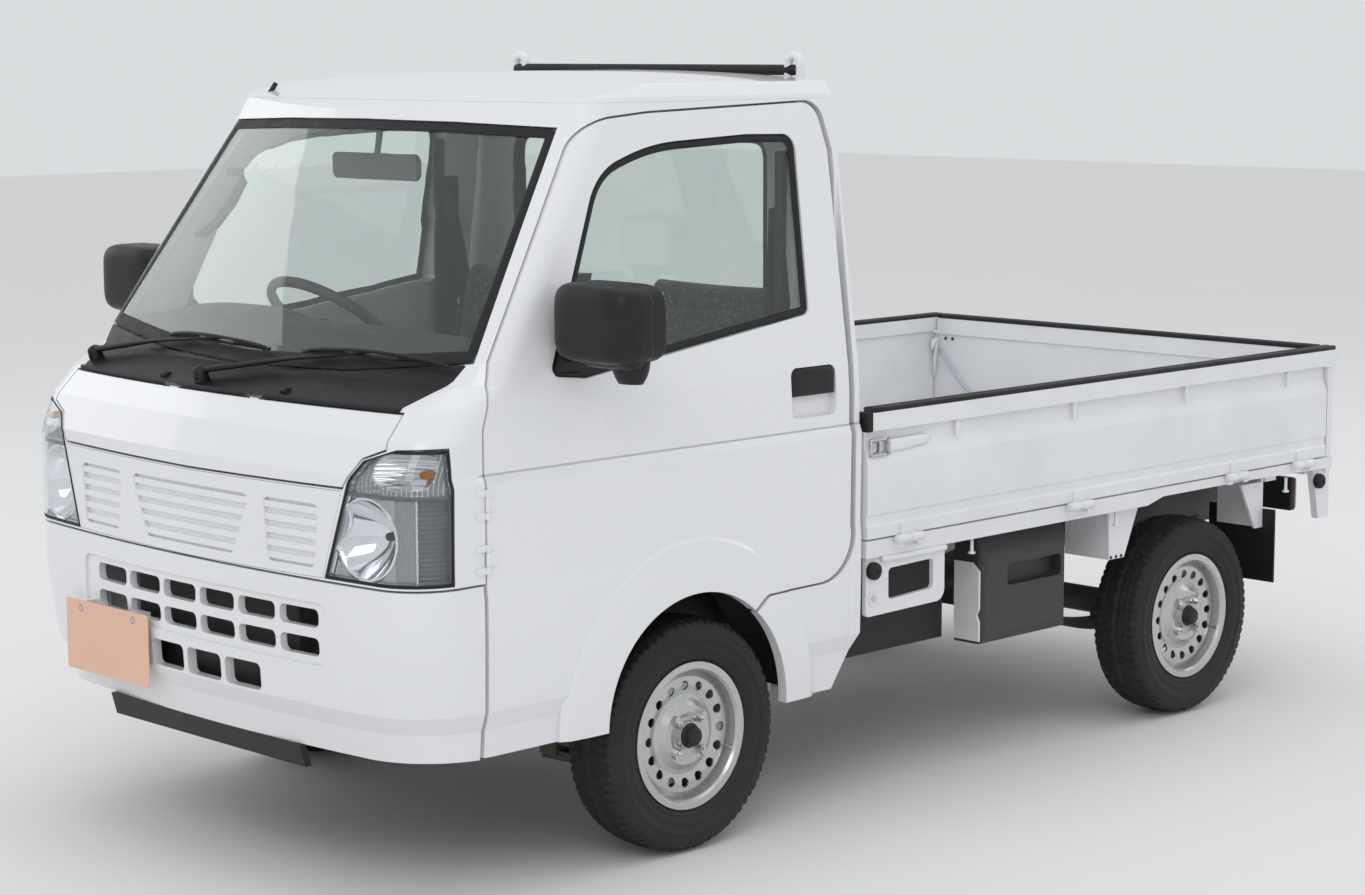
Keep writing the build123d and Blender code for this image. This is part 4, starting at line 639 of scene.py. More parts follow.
def inward(outline, distance):
    """The closed outline moved towards its inside by a distance, along each point's bisector."""
    area = 0.5 * np.sum(outline[:, 0] * np.roll(outline[:, 1], -1) - np.roll(outline[:, 0], -1) * outline[:, 1])
    ahead = np.roll(outline, -1, 0) - outline
    behind = outline - np.roll(outline, 1, 0)
    ahead /= np.linalg.norm(ahead, axis=1)[:, None] + 1e-12
    behind /= np.linalg.norm(behind, axis=1)[:, None] + 1e-12
    along = ahead + behind
    along /= np.linalg.norm(along, axis=1)[:, None] + 1e-12
    normal = np.stack([-along[:, 1], along[:, 0]], 1) * np.sign(area)
    spread = np.clip(np.sum(along * ahead, 1), 0.5, 1)
    return outline + normal * (distance / spread)[:, None]


def band_on(place, outer, inner, rise, sink, profile=(0.0, 0.12, 0.5, 0.88, 1.0)):
    """Closed band between two outlines laid on a surface: raised in the middle, sunk edges, closed behind."""
    share = np.asarray(profile)[:, None, None]
    flat = outer[None] * (1 - share) + inner[None] * share
    height = rise * np.sqrt(np.clip(1 - (2 * np.asarray(profile) - 1) ** 6, 0, 1))
    top = np.stack([place(row, lift) for row, lift in zip(flat, height)])
    back = np.stack([place(row, -sink) for row in flat[::-1]])
    points = np.concatenate([top, back])
    return points.reshape(-1, 3), grid_faces(len(points), len(outer), wrap_rows=True, wrap_columns=True)


def on_front(base_inset):
    """Places (X, Z) points on the cab's front at an inset, lifted outwards."""
    return lambda flat, lift: xyz(flat[:, 0], front_y(flat[:, 0], flat[:, 1], base_inset - lift), flat[:, 1])


def on_left(base_inset):
    """Places (Y, Z) points on the cab's left side at an inset, lifted outwards."""
    return lambda flat, lift: xyz(side_x(flat[:, 1], base_inset - lift), flat[:, 0], flat[:, 1])


# ---- glass borders and seals ----
SCREEN = ((0, 1.105), (0.34, 1.116), (0.664, 1.149), (0.577, 1.628), (0.3, 1.637), (0, 1.640))
DOOR_WINDOW = ((-1.262, 1.112), (-1.070, 1.535), (-0.9, 1.590), (-0.6, 1.603), (-0.44, 1.6), (-0.45, 1.19),
               (-1.16, 1.1))
DOOR_WINDOW_RADII = (0.02, 0.16, 0.6, 0, 0.04, 0.02, 0)
REAR_WINDOW = ((-0.4545, 1.1755), (0.4545, 1.1755), (0.4545, 1.5895), (-0.4545, 1.5895))


def full_outline(half):
    """Outline given on the left, joined with its mirror image."""
    half = list(half)
    return half + [(-x, z) for x, z in half[::-1] if abs(x) > 1e-6]


class TRUCK_OT_seals(bpy.types.Operator):
    """Black borders round the windscreen, the door windows and the rear window"""
    bl_idname = "truck.seals"
    bl_label = "Glass borders"

    def execute(self, context):
        screen = rounded_outline(full_outline(SCREEN), 0.03)
        inner = inward(screen, 0.024)
        inner[:, 1] += 0.012 * np.clip((1.2 - inner[:, 1]) / 0.1, 0, 1)
        border = band_on(on_front(0.0035), inward(screen, 0.0015), inner, 0.0012, 0.0003)
        put_mesh("screen_border", border, "black_rubber", "root")
        window = rounded_outline(DOOR_WINDOW, DOOR_WINDOW_RADII)
        seal = band_on(on_left(0.0075), inward(window, 0.001), inward(window, 0.019), 0.0045, 0.0002)
        put_pair("window_seal", seal, "black_rubber", "door_{}")
        rear = rounded_outline(REAR_WINDOW, 0.06)
        for name, y, turn in (("outside", -0.3075, 1), ("inside", -0.3265, -1)):
            seal = band_on(lambda flat, lift: xyz(flat[:, 0], y + turn * lift, flat[:, 1]),
                           inward(rear, -0.012), inward(rear, 0.02), 0.0055, 0.0)
            put_mesh(f"rear_seal_{name}", seal, "black_rubber", "root")
        return {"FINISHED"}


# ---- wheels ----
TREAD_LINES = np.array((
    0.0025, 0.0045, 0.0105, 0.0125, 0.021, 0.0295, 0.0315, 0.0375, 0.0395, 0.047, 0.0545, 0.056,
))
TYRE_WALL = np.array((
    # half width, radius, from the shoulder to the bead
    (0.0615, 0.2585), (0.0668, 0.2530), (0.0702, 0.2440), (0.0722, 0.2330), (0.0730, 0.2250), (0.0742, 0.2235),
    (0.0742, 0.2195), (0.0728, 0.2180), (0.0722, 0.2080), (0.0710, 0.1985), (0.0716, 0.1970), (0.0710, 0.1950),
    (0.0690, 0.1890), (0.0662, 0.1815), (0.0672, 0.1800), (0.0655, 0.1775), (0.0600, 0.1715), (0.0545, 0.1692),
    (0.0540, 0.1525),
))
HUB_CAP = ((0.045, 0.0), (0.045, 0.0285), (0.058, 0.0285), (0.061, 0.027), (0.062, 0.024), (0.0635, 0.0235),
           (0.074, 0.0215), (0.077, 0.019), (0.0785, 0.012), (0.079, 0.0))
WHEEL_NUT = ((0.046, 0.0), (0.046, 0.0125), (0.050, 0.0105), (0.060, 0.0100), (0.063, 0.0085), (0.063, 0.0055),
             (0.069, 0.0050), (0.070, 0.0))
NUT_CIRCLE = 0.05
VALVE = ((0.036, 0.131), (0.054, 0.127), (0.066, 0.123))


def tyre_shape(segments=288):
    """Tyre section carried round: a crowned tread with zigzag and cross grooves cut as a depth over angle
    and width, ribbed walls, and the bead ring that closes it."""
    lateral = np.concatenate([-TREAD_LINES[::-1], TREAD_LINES])
    x = np.concatenate([lateral, TYRE_WALL[:, 0], -TYRE_WALL[::-1, 0]])
    radius = np.concatenate([0.2675 - 0.0062 * (lateral / 0.054) ** 2, TYRE_WALL[:, 1], TYRE_WALL[::-1, 1]])
    angle = np.linspace(0, 2 * math.pi, segments, endpoint=False)[:, None]
    step = np.floor(angle / (2 * math.pi) * segments).astype(int)
    tread, off = np.arange(len(x)) < len(lateral), np.abs(x)
    groove = np.zeros((segments, len(x)))
    for where, pitch, phase, depth in (
            # where across, steps from one to the next, first step, depth
            ((np.abs(off - 0.0115) < 0.0013) | (np.abs(off - 0.0305) < 0.0013), 1, 0, 0.0065),
            (tread & (off > 0.0385) & (off < 0.0565), 4, 0, 0.0075),
            (tread & (off > 0.0125) & (off < 0.0295), 4, 2, 0.0060),
            (tread & (off < 0.0105), 8, 0, 0.004),
            (~tread & (radius > 0.2425) & (radius < 0.2590), 4, 0, 0.0050)):
        groove = np.maximum(groove, depth * (where & (step % pitch == phase)))
    zigzag = np.where(tread & (off < 0.045), 0.0022 * np.sign(np.sin(angle * 48)), 0)
    cut = radius - groove
    points = xyz(x + zigzag, cut * np.cos(angle), cut * np.sin(angle))
    return points.reshape(-1, 3), grid_faces(segments, len(x), wrap_rows=True, wrap_columns=True)


class TRUCK_OT_tyres(bpy.types.Operator):
    """Four tyres with a cut tread in place of the plain rings"""
    bl_idname = "truck.tyres"
    bl_label = "Tyres"

    def execute(self, context):
        points, faces = tyre_shape()
        for name, side, axle_y, half_track in WHEELS:
            placed = on_side((points + (half_track, axle_y, WHEEL_RADIUS), faces), side)
            tyre = put_mesh(f"tread_{name}", placed, "tyre_rubber", f"wheel_{name}")
            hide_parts(f"tyre_{name}")
        return {"FINISHED"}


class TRUCK_OT_wheel_trim(bpy.types.Operator):
    """Nuts, black hub caps and valves on the steel wheels"""
    bl_idname = "truck.wheel_trim"
    bl_label = "Wheel trim"

    def execute(self, context):
        valve_z = 0.139 * math.sin(math.radians(200))
        for name, side, axle_y, half_track in WHEELS:
            centre = np.array((half_track, axle_y, WHEEL_RADIUS))
            cap = on_side(turned(HUB_CAP, centre, 48), side)
            put_mesh(f"hub_cap_{name}", cap, "black_plastic", f"wheel_{name}")
            nuts = [turned(WHEEL_NUT, centre + (0, NUT_CIRCLE * math.cos(a), NUT_CIRCLE * math.sin(a)), 6)
                    for a in np.radians((45, 135, 225, 315))]
            nuts.append(tube([centre + (x, y, valve_z) for x, y in VALVE], (0.0042, 0.0036, 0.003), 10))
            put_mesh(f"wheel_nuts_{name}", on_side(merge(nuts), side), "bright_steel", f"wheel_{name}",
                     slot="wheel_silver", smooth=False)
        return {"FINISHED"}


# ---- headlamps ----
LAMP_EDGE = np.array(((0.704, 0.459), (0.915, 0.531), (0.958, 0.562), (0.985, 0.640)))
LAMP_BACK = -1.5425
BAR_LOW, BAR_HIGH = 0.884, 0.893
# place along the skin, height and radius; for the signal bowl the two half sizes
BOWL = (0.574, 0.795, 0.083)
SIGNAL = (0.668, 0.940, 0.078, 0.036)
BULBS = (
    # name, finish, X, Z, Y of each ring, radius of each ring
    ("lamp_bulb", "black_metal", 0.574, 0.795, (-1.572, -1.576, -1.582, -1.588, -1.592, -1.594),
     (0.0105, 0.0100, 0.0095, 0.0090, 0.0080, 0.0040)),
    ("signal_bulb", "amber_lens", 0.690, 0.936, (-1.566, -1.572, -1.580, -1.589, -1.595, -1.598),
     (0.007, 0.0085, 0.0095, 0.009, 0.007, 0.003)),
)


def ribs(place, pitch):
    """Rounded ribs at an even pitch: 0 in the grooves, 1 on the crests."""
    return np.abs(np.sin(place * math.pi / pitch))


def lamp_grid(margin, rows=150, columns=170):
    """Across and height values that fill the lamp's outline inside a margin: heights even, each row spread
    evenly from its slanted inner edge to where the corner arc meets the lamp's back."""
    z = np.linspace(0.7045 + margin, 0.9845 - margin, rows)
    edge_x = np.interp(z, LAMP_EDGE[:, 0], LAMP_EDGE[:, 1]) + margin * 1.1
    half, setback, bow, corner = (np.interp(z, CAB_SECTIONS[:, 0], value) for value in CAB_SECTIONS.T[1:])
    bend = np.arcsin((half - corner) / (bow - corner))
    past = edge_x > (half - corner) + corner * np.sin(bend)
    on_arc = np.arcsin(np.clip((edge_x - half + corner) / corner, -1, 1))
    inner = np.where(past, 1 + (on_arc - bend) / (math.pi / 2 - bend), np.arcsin(edge_x / bow) / bend)
    corner_y = CAB_FRONT + setback + bow - np.sqrt((bow - corner) ** 2 - (half - corner) ** 2)
    last = np.arccos(np.clip((corner_y - LAMP_BACK + margin) / corner, 0.02, 1))
    outer = 1 + (last - bend) / (math.pi / 2 - bend)
    share = np.linspace(0, 1, columns)[None, :]
    return inner[:, None] * (1 - share) + outer[:, None] * share, np.broadcast_to(z[:, None], (rows, columns))


def lamp_outline(margin):
    """Closed outline of the lamp inside a margin, as across and height values."""
    grid = np.stack(lamp_grid(margin), 2)
    return np.concatenate([grid[0, :-1], grid[:-1, -1], grid[-1, :0:-1], grid[:0:-1, 0]])


def lamp_skin(across, z, depth):
    """Point at a depth behind the cab's skin, kept in front of the lamp's back."""
    x, y, _ = skin(across, z, depth)
    return xyz(x, np.minimum(y, LAMP_BACK - 0.0005), z)


def reflector_shape():
    """Depth behind the skin, as the shallowest floor less every hollow: a paraboloid bowl, upright flutes and
    ribs for the outer part, and an oval signal bowl with fine ribs; the tone is chrome in the bowls."""
    across, z = lamp_grid(0.001)
    along = skin(across, z)[2]
    lower, upper = z < BAR_LOW, z >= BAR_HIGH
    main = np.hypot(along - BOWL[0], z - BOWL[1]) / BOWL[2]
    signal = ((np.abs(along - SIGNAL[0]) / SIGNAL[2]) ** 3 + (np.abs(z - SIGNAL[1]) / SIGNAL[3]) ** 3) ** (1 / 3)
    wedge = upper & (signal >= 1)
    depth = np.full(z.shape, 0.0125)
    for where, value in (
            (lower & (along > 0.655) & (along < 0.704), 0.0135 + 0.0016 * ribs(along, 0.0052)),
            (lower & (along >= 0.709), 0.0145 + 0.0034 * ribs(z, 0.0096)),
            (lower & (along >= 0.704) & (along < 0.709), 0.009)):
        depth = np.where(where, value, depth)
    hollow = 0.012 + 0.036 * np.clip(1 - signal ** 2, 0, 1) + 0.0022 * ribs(z, 0.0088)
    for where, value in (
            (main < 1, np.maximum(depth, 0.0125 + 0.070 * (1 - main ** 2))),
            ((main >= 1) & (main < 1.07), 0.010),
            (~lower & ~upper, 0.0075),
            (upper, np.where(signal < 1, hollow, 0.013))):
        depth = np.where(where, value, depth)
    tone = np.full(z.shape, 0.55)
    for where, value in (
            (lower & (along > 0.655) & (along < 0.704), 0.4), (lower & (along >= 0.709), 0.1),
            (lower & (along >= 0.704) & (along < 0.709), 0.85), (lower & (across < across[:, :1] + 0.03), 0.9),
            (main < 1.07, 1.0), (~lower & ~upper, 0.08), (upper, 0.84), (wedge, 0.3),
            (wedge & (ribs(along, 0.012) < 0.35), 0.75)):
        tone = np.where(where, value, tone)
    edge = np.ones(z.shape, bool)
    edge[2:-2, 2:-2] = False
    front = np.where(edge[:, :, None], lamp_skin(across, z, 0.0055), lamp_skin(across, z, depth))
    tone = np.where(edge, 0.05, tone)
    points, faces = shell(front, xyz(front[:, :, 0], LAMP_BACK, z))
    tones = np.concatenate([tone, tone[:, ::-1]], 1)
    return (points, faces), np.concatenate([tones[:1], tones, tones[-1:]])


class TRUCK_OT_headlamps(bpy.types.Operator):
    """Chrome bowls, flutes, bulbs and the black border of the headlamps"""
    bl_idname = "truck.headlamps"
    bl_label = "Headlamps"

    def execute(self, context):
        shape, tones = reflector_shape()
        for piece in put_pair("lamp_reflector", shape, "lamp_reflector", tone=tones):
            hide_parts("headlamp_housings")

        def place(flat, lift):
            x, y, _ = skin(flat[:, 0], flat[:, 1], -lift)
            return xyz(x, y, flat[:, 1])

        border = band_on(place, lamp_outline(0.0), lamp_outline(0.0065), 0.0010, 0.0002)
        put_pair("lamp_border", border, "black_rubber")
        for name, finish, x, z, y, radius in BULBS:
            put_pair(name, tube(xyz(x, np.array(y), z), radius, 20), finish)
        return {"FINISHED"}


# ---- rear lamps ----
REAR_LENSES = (
    # name, low X, high X, finish
    ("stop", 0.5425, 0.6375, "red_lens"), ("signal", 0.5125, 0.5405, "amber_lens"),
    ("reverse", 0.4825, 0.5105, "clear_plastic"),
)


class TRUCK_OT_rear_lamps(bpy.types.Operator):
    """Rear lamps: a dark housing with a red, an amber and a clear lens, each with fine ribs"""
    bl_idname = "truck.rear_lamps"
    bl_label = "Rear lamps"

    def execute(self, context):
        housing = block((0.480, 1.630, 0.480), (0.640, 1.6555, 0.575), 0.006, 5)
        for piece in put_pair("rear_lamp_body", housing, "black_plastic"):
            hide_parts("tail_lamps")
        u, v = np.meshgrid(np.linspace(-1, 1, 49), np.linspace(-1, 1, 97))
        y = 1.6560 + (0.0155 - 0.0007 * ribs(v, 1 / 9)) * edge_fall(u, v, 10, 14)
        z = 0.5275 + 0.0445 * v
        for name, low, high, finish in REAR_LENSES:
            x = (low + high) / 2 + (high - low) / 2 * u
            put_pair(f"rear_lens_{name}", shell(xyz(x, y, z), xyz(x, 1.6558, z)), finish)
        return {"FINISHED"}


# ---- seats ----
CUSHION_SEAMS = (
    # runs along, place, depth, width, from, to
    ("x", -0.150, 0.009, 0.0045, -0.235, 0.30), ("x", 0.150, 0.009, 0.0045, -0.235, 0.30),
    ("y", -0.235, 0.008, 0.0045, -0.150, 0.150), ("y", -0.09, 0.0045, 0.005, -0.150, 0.150),
    ("y", 0.06, 0.0045, 0.005, -0.150, 0.150),
)
BACK_SEAMS = (
    ("x", -0.150, 0.008, 0.0045, -0.205, 0.135), ("x", 0.150, 0.008, 0.0045, -0.205, 0.135),
    ("y", 0.135, 0.007, 0.0045, -0.150, 0.150), ("y", -0.02, 0.004, 0.005, -0.150, 0.150),
)
SEAM_END = 0.006
SEAT_X = 0.345


def pad_shape(width, length, height, crown, waist, seams, rows=120, columns=96):
    """Crowned pad: its top is a raised sheet that falls off as a superellipse at the rim, its outline pulls in
    between the corners, and sewn channels are narrow dips along and across it. Local axes: X across, Y along,
    Z up from a flat base."""
    u, v = np.meshgrid(*(np.sin(np.linspace(-0.5, 0.5, count) * math.pi) for count in (columns, rows)))
    x = width / 2 * u * (1 - waist * (1 - v ** 2))
    y = length / 2 * v * (1 - waist * (1 - u ** 2))
    swell = crown * (1 - u ** 2) * (1 - 0.6 * v ** 2)
    dip = np.zeros(u.shape)
    for axis, place, depth, wide, low, high in seams:
        run, other = (x, y) if axis == "x" else (y, x)
        inside = 1 / (1 + np.exp((low - other) / SEAM_END)) / (1 + np.exp((other - high) / SEAM_END))
        dip = np.maximum(dip, depth * np.exp(-((run - place) / wide) ** 2) * inside)
    front = xyz(x, y, (height - crown + swell - dip) * edge_fall(u, v, 9, 9, 0.4))
    back = xyz(x * 0.985, y * 0.985, 0.0)
    front[[0, -1]] = back[[0, -1]]
    front[:, [0, -1]] = back[:, [0, -1]]
    return shell(front, back)


class TRUCK_OT_seats(bpy.types.Operator):
    """Two cloth seats with crowned pads, sewn channels and side bolsters"""
    bl_idname = "truck.seats"
    bl_label = "Seats"

    def execute(self, context):
        lean = math.atan2(0.072, 0.4077)
        up = np.array((0, math.sin(lean), math.cos(lean)))
        out = np.array((0, -math.cos(lean), math.sin(lean)))
        points, faces = pad_shape(0.446, 0.596, 0.166, 0.014, 0.018, CUSHION_SEAMS)
        cushion = (points + (SEAT_X, -0.700, 0.6655), faces)
        points, faces = pad_shape(0.444, 0.404, 0.072, 0.012, 0.02, BACK_SEAMS)
        base = np.array((SEAT_X, -0.4355, 0.834)) + 0.203 * up
        back = (base + points[:, :1] * (1, 0, 0) + points[:, 1:2] * up + points[:, 2:] * out, faces)
        for piece in put_pair("seat_cushion", cushion, "seat_cloth"):
            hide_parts("seat_bases")
        for piece in put_pair("seat_back", back, "seat_cloth"):
            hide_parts("seat_backs")
        return {"FINISHED"}


# ---- fittings inside and outside the cab ----
LEVER = ((0.022, 0, 0), (0.07, 0.006, 0.012), (0.14, 0.016, 0.028), (0.185, 0.022, 0.036), (0.190, 0.023, 0.037))
LEVER_RADII = (0.0055, 0.0055, 0.0065, 0.0085, 0.004)
COLUMN_TOP = np.array((-0.335, -1.083, 1.043))


class TRUCK_OT_cab_fittings(bpy.types.Operator):
    """Washer nozzles, column levers, pillar grip and seat belts"""
    bl_idname = "truck.cab_fittings"
    bl_label = "Cab fittings"

    def execute(self, context):
        for x, name in ((-0.221, "right"), (0.224, "left")):
            y = float(front_y(x, 1.070))
            nozzle = block((x - 0.013, y - 0.009, 1.064), (x + 0.013, y + 0.012, 1.078), 0.005, 4)
            put_mesh(f"washer_nozzle_{name}", nozzle, "black_plastic", "root")
        for turn, name in ((-1, "signal"), (1, "wiper")):
            lever = tube(COLUMN_TOP + np.array(LEVER) * (turn, 1, 1), LEVER_RADII, 14)
            put_mesh(f"column_lever_{name}", lever, "black_plastic", "root")
        top, low = np.array((-0.545, -1.172, 1.500)), np.array((-0.635, -1.225, 1.352))
        lift = np.array((0.03, 0.045, 0.0))
        grip = tube((top, top + lift * 0.7, top * 0.85 + low * 0.15 + lift, (top + low) / 2 + lift * 1.1,
                     top * 0.15 + low * 0.85 + lift, low + lift * 0.7, low),
                    (0.010, 0.011, 0.012, 0.013, 0.012, 0.011, 0.010), 16)
        put_mesh("pillar_grip", grip, "black_plastic", "root")
        put_pair("belt_cover", block((0.603, -0.470, 0.905), (0.622, -0.392, 1.560), 0.008, 4), "black_plastic")
        t = np.linspace(0, 1, 40)
        slack = np.sin(math.pi * t)
        path = xyz(0.594 - 0.05 * t - 0.02 * slack, -0.452 + 0.03 * slack, 1.43 - 0.56 * t)
        put_pair("seat_belt", tube(path, 0.0235, 12, up=(1, 0, 0), flatten=0.06), "belt_webbing")
        put_pair("belt_tongue", block((0.560, -0.436, 1.108), (0.572, -0.392, 1.150), 0.004, 3), "bright_steel")
        return {"FINISHED"}


# ---- steering wheel ----
STEERING_CENTRE = np.array((-0.335, -1.010, 1.130))
STEERING_TILT = math.radians(40)
STEERING_RADIUS = 0.180


class TRUCK_OT_steering_wheel(bpy.types.Operator):
    """Steering wheel square to its column: ridged rim, domed hub pad, three flat spokes and a boot below"""
    bl_idname = "truck.steering_wheel"
    bl_label = "Steering wheel"

    def execute(self, context):
        axis = np.array((0.0, math.sin(STEERING_TILT), math.cos(STEERING_TILT)))
        across, down = np.array((1.0, 0.0, 0.0)), np.array((0.0, axis[2], -axis[1]))
        turn = np.linspace(0, 2 * math.pi, 240, endpoint=False)[:, None]
        section = np.linspace(0, 2 * math.pi, 24, endpoint=False)[None, :]
        ridge = 0.0012 * (0.5 + 0.5 * np.cos(60 * turn)) * (np.sin(section) < -0.1)
        reach = STEERING_RADIUS + (0.0122 - ridge) * np.cos(section)
        height = (0.0135 - ridge) * np.sin(section)
        spoke = np.cos(turn)[..., None] * across + np.sin(turn)[..., None] * down
        rim = STEERING_CENTRE + reach[..., None] * spoke + height[..., None] * axis
        parts = [(rim, grid_faces(240, 24, wrap_rows=True, wrap_columns=True))]
        for drop, radii, sides in (
                ((0.004, 0.0045, 0.007, 0.012, 0.020, 0.040, 0.046),
                 (0.018, 0.032, 0.042, 0.0475, 0.050, 0.048, 0.038), 48),
                ((0.047, 0.062, 0.098, 0.112), (0.030, 0.034, 0.036, 0.030), 40)):
            parts.append(tube(STEERING_CENTRE - np.array(drop)[:, None] * axis, radii, sides, up=across))
        run = np.linspace(0, 1, 12)[:, None]
        for angle in np.radians((0, 90, 180)):
            way = math.cos(angle) * across + math.sin(angle) * down
            line = STEERING_CENTRE + (0.030 + 0.146 * run) * way + (-0.018 + 0.018 * run ** 1.5) * axis
            parts.append(tube(line, 0.0165 - 0.0065 * np.sin(math.pi * run[:, 0] / 2), 20, up=axis, flatten=0.5))
        wheel = put_mesh("steering_wheel_rim", merge(parts), "dash_plastic", "steering_wheel")
        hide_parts("steering_wheel")
        return {"FINISHED"}


# ---- wipers, dashboard pad and mirrors ----
WIPERS = (
    # name, pivot, arm points, blade points
    ("left", (-0.070, -1.591, 1.062),
     ((-0.070, -1.594, 1.094), (0.040, -1.566, 1.111), (0.163, -1.533, 1.131), (0.290, -1.509, 1.146),
      (0.400, -1.490, 1.160)),
     ((0.194, -1.514, 1.1485), (0.300, -1.505, 1.150), (0.412, -1.494, 1.1505), (0.520, -1.481, 1.148),
      (0.626, -1.467, 1.1445))),
    ("right", (-0.578, -1.532, 1.066),
     ((-0.578, -1.538, 1.098), (-0.480, -1.527, 1.114), (-0.372, -1.517, 1.131), (-0.240, -1.515, 1.145),
      (-0.106, -1.517, 1.157)),
     ((-0.319, -1.505, 1.1485), (-0.212, -1.512, 1.149), (-0.106, -1.518, 1.1485), (-0.010, -1.520, 1.147),
      (0.084, -1.521, 1.1455))),
)
POST_AXIS = np.array((0, -0.25, 1.0)) / math.hypot(0.25, 1.0)
BLADE_OUT = np.array((0, -0.62, 0.78))
YOKES = ((0.03, 0.97, 0.0165), (0.03, 0.34, 0.0095), (0.66, 0.97, 0.0095))  # from, to, rise
DASH_SECTION = np.array((
    # Y, Z, from under the glass to the edge over the driver's knees
    (-1.500, 1.100), (-1.482, 1.128), (-1.460, 1.152), (-1.435, 1.170), (-1.400, 1.181), (-1.350, 1.187),
    (-1.300, 1.187), (-1.268, 1.182), (-1.246, 1.170), (-1.236, 1.150), (-1.234, 1.110), (-1.236, 1.060),
    (-1.246, 1.030),
))
DASH_HALF = 0.598
MIRROR_X, MIRROR_Z = 0.8398, 1.2330


def eased(points, count):
    """Smooth line of a given number of points through a few: each coordinate follows a cubic in arc length."""
    points = np.asarray(points, float)
    length = np.concatenate([[0], np.cumsum(np.linalg.norm(np.diff(points, axis=0), axis=1))])
    slope = np.gradient(points, length, axis=0)
    s = np.linspace(0, length[-1], count)
    k = np.clip(np.searchsorted(length, s, side="right") - 1, 0, len(points) - 2)
    run = (length[k + 1] - length[k])[:, None]
    t = ((s - length[k]) / run[:, 0])[:, None]
    return ((2 * t ** 3 - 3 * t ** 2 + 1) * points[k] + (t ** 3 - 2 * t ** 2 + t) * run * slope[k]
            + (3 * t ** 2 - 2 * t ** 3) * points[k + 1] + (t ** 3 - t ** 2) * run * slope[k + 1])


def post_on(pivot, heights, radii, sides):
    """Round post that stands along the wiper's pivot, from its heights and the radius at each."""
    return tube(pivot + POST_AXIS * np.array(heights)[:, None], radii, sides, up=(0, 1, 0))


class TRUCK_OT_wipers(bpy.types.Operator):
    """Two wipers: tapered arms on round pivots, and blades hung under arched yokes"""
    bl_idname = "truck.wipers"
    bl_label = "Wipers"

    def execute(self, context):
        t = np.linspace(0, 1, 40)
        width = np.interp(t, (0, 0.05, 0.3, 0.5, 1), (0.012, 0.0125, 0.0105, 0.0075, 0.0055))
        for name, pivot, arm_points, blade_points in WIPERS:
            pivot = np.asarray(pivot)
            post = post_on(pivot, (0.0, 0.006, 0.020, 0.034, 0.040, 0.043),
                           (0.0165, 0.0172, 0.0165, 0.0150, 0.0115, 0.0050), 24)
            nut = post_on(pivot + (0, -0.012, 0), (0.012, 0.030, 0.036), (0.0075, 0.0075, 0.0050), 12)
            arm = tube(eased(arm_points, 40), width, 14, flatten=0.62)
            arms = put_mesh(f"wiper_arm_{name}", merge((arm, post, nut)), "black_plastic", "root")
            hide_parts("wipers")
            line = eased(blade_points, 80)
            parts = [tube(line, 0.0046, 10, up=BLADE_OUT, flatten=0.6)]
            for low, high, rise in YOKES:
                place = (low + (high - low) * t) * 79
                whole = np.minimum(place.astype(int), 78)
                share = (place - whole)[:, None]
                arch = line[whole] * (1 - share) + line[whole + 1] * share
                arch = arch + BLADE_OUT * (rise * np.sin(math.pi * t) ** 0.5)[:, None]
                parts.append(tube(arch, 0.0042, 10, up=BLADE_OUT, flatten=0.8))
            put_mesh(f"wiper_blade_{name}", merge(parts), "black_rubber", "root")
        return {"FINISHED"}


class TRUCK_OT_dash_pad(bpy.types.Operator):
    """Padded top of the dashboard under the windscreen, with a hood over the gauges and an air slot"""
    bl_idname = "truck.dash_pad"
    bl_label = "Dashboard pad"

    def execute(self, context):
        count = len(DASH_SECTION)
        line = [np.interp(np.linspace(0, count - 1, 72), np.arange(count), value) for value in DASH_SECTION.T]
        x, y = np.meshgrid(np.sin(np.linspace(-0.5, 0.5, 120) * math.pi) * DASH_HALF, line[0])
        z = np.broadcast_to(line[1][:, None], x.shape).copy()
        raised = np.clip((z - 1.10) / 0.08, 0, 1)
        z += raised * (0.020 * np.exp(-((x + 0.30) / 0.17) ** 6) - 0.016 * (np.abs(x) / DASH_HALF) ** 4)
        slot = (y > -1.43) & (y < -1.40) & (np.abs(x) < 0.46)
        z -= slot * 0.006 * (ribs(x, 0.03) > 0.3)
        y = np.maximum(y, front_y(x, np.maximum(z, 1.1055), 0.018))
        pad = shell(xyz(x, y, z), xyz(x, np.clip(y, -1.44, -1.246), 1.030))
        put_mesh("dash_pad", pad, "dash_plastic", "root")
        return {"FINISHED"}


